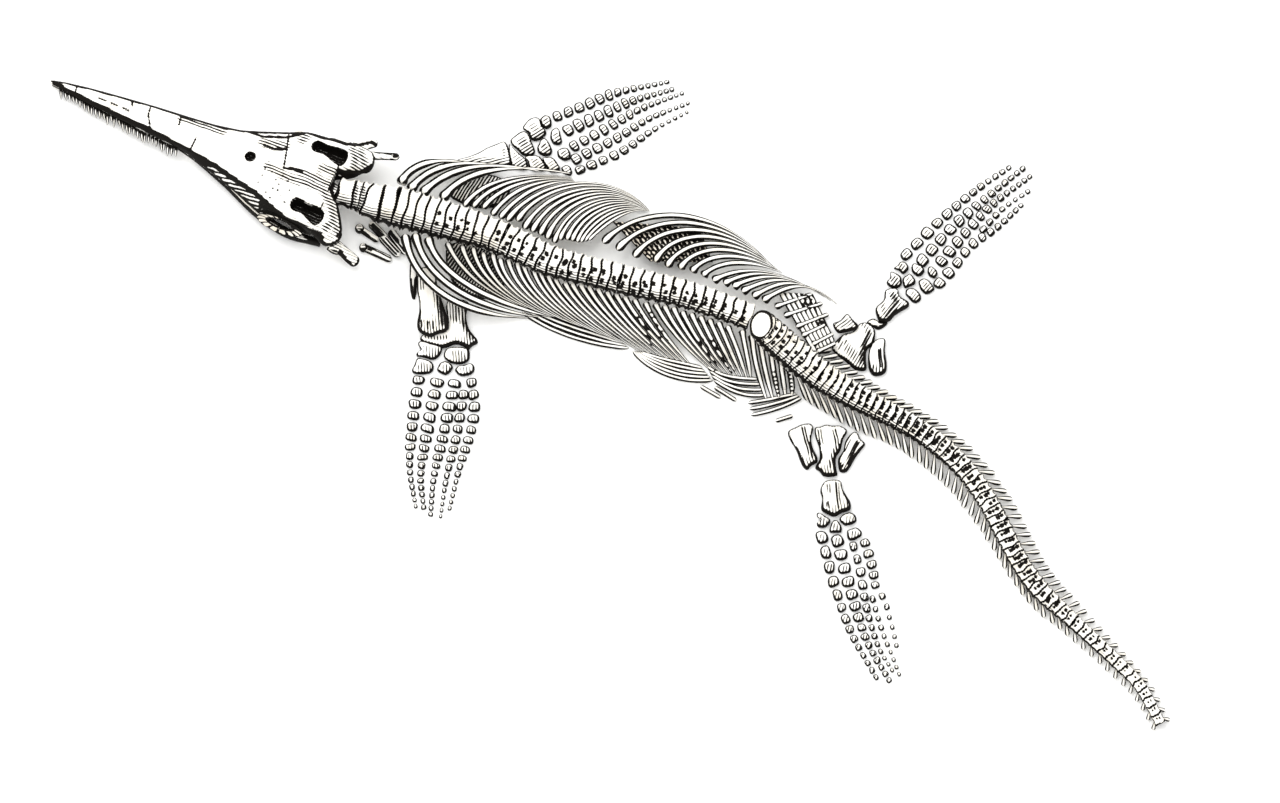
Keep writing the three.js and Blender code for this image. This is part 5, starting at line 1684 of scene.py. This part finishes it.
for name, (head, tip, thick) in NECK_BONES.items():
    skin = Skin()
    ground_rod(skin, straight_handles(head, tip), thick, 0.14, 0.1, NECK_RIM)
    if name in KNOBS:
        turn = angles_round(STONE_SIDES)
        knob = np.array(head) + KNOBS[name] * np.stack([np.cos(turn), np.sin(turn)], -1)
        stone(skin, knob, 2 * KNOBS[name], 0)
    bone = Bone(name, skin)
    for line, half_width, strength in NECK_MARKS[name]:
        bone.mark([from_photo(line)], half_width, 0.0, strength)
    bone.finish("bone_pale")

# Floor, light and camera.
FLOOR_SIZE = 40.0
FLOOR_DROP = 0.0005
FLOOR_TONE = (0.95, 0.95, 0.94, 1)
FLOOR_ROUGHNESS, FLOOR_GLOSS = 0.9, 0.1
# Each light's direction from the middle of the skeleton, distance, size and power.
LIGHTS = {
    "key": ((-0.75, 1.0, 2.1), 5.0, 4.5, 165),
    "fill": ((0.6, -0.9, 2.4), 6.0, 5.5, 45),
}
WORLD_STRENGTH = 1.08
LENS = 400.0
SENSOR = 36.0
VIEW_END = 200.0


def make_floor():
    mesh = bpy.data.meshes.new("floor")
    half = FLOOR_SIZE / 2
    corners = [(-half, -half, 0), (half, -half, 0), (half, half, 0), (-half, half, 0)]
    mesh.from_pydata(corners, [], [(0, 1, 2, 3)])
    floor = add_object("floor", mesh)
    floor.location.z = -FLOOR_DROP
    material = bpy.data.materials.new("floor")
    material.use_nodes = True
    shader = material.node_tree.nodes["Principled BSDF"]
    shader.inputs["Base Color"].default_value = FLOOR_TONE
    shader.inputs["Roughness"].default_value = FLOOR_ROUGHNESS
    shader.inputs["Specular IOR Level"].default_value = FLOOR_GLOSS
    mesh.materials.append(material)


def row_direction(x, y, z):
    return (TO_ROW.to_3x3() @ Vector((x, y, z))).normalized()


def add_light(name, place, size, power):
    light = bpy.data.lights.new(name, "AREA")
    light.shape = "DISK"
    light.size = size
    light.energy = power
    lamp = add_object(name, light)
    lamp.location = place
    lamp.rotation_euler = (-Vector(place)).to_track_quat("-Z", "Y").to_euler()


make_floor()
for name, (direction, far, size, power) in LIGHTS.items():
    add_light(name, row_direction(*direction) * far, size, power)
world = bpy.data.worlds.new("world")
world.use_nodes = True
background = world.node_tree.nodes["Background"]
background.inputs["Color"].default_value = (1, 1, 1, 1)
background.inputs["Strength"].default_value = WORLD_STRENGTH
bpy.context.scene.world = world
bpy.context.scene.view_settings.view_transform = "Standard"

# The camera looks down the sight line at the place where the seen x and y are 0.
camera_data = bpy.data.cameras.new("camera")
camera_data.lens = LENS
camera_data.sensor_width = SENSOR
camera_data.clip_end = VIEW_END
camera = add_object("camera", camera_data)
target = TO_ROW @ Vector((0, 0, 0))
back = row_direction(0, -LEAN_SIN, LEAN_COS)
upward = row_direction(0, LEAN_COS, LEAN_SIN)
right = upward.cross(back)
distance = PHOTO_SIZE[0] * PIXEL * MM * LENS / SENSOR
turn = Matrix((right, upward, back)).transposed().to_4x4()
camera.matrix_world = Matrix.Translation(target + back * distance) @ turn
bpy.context.scene.camera = camera
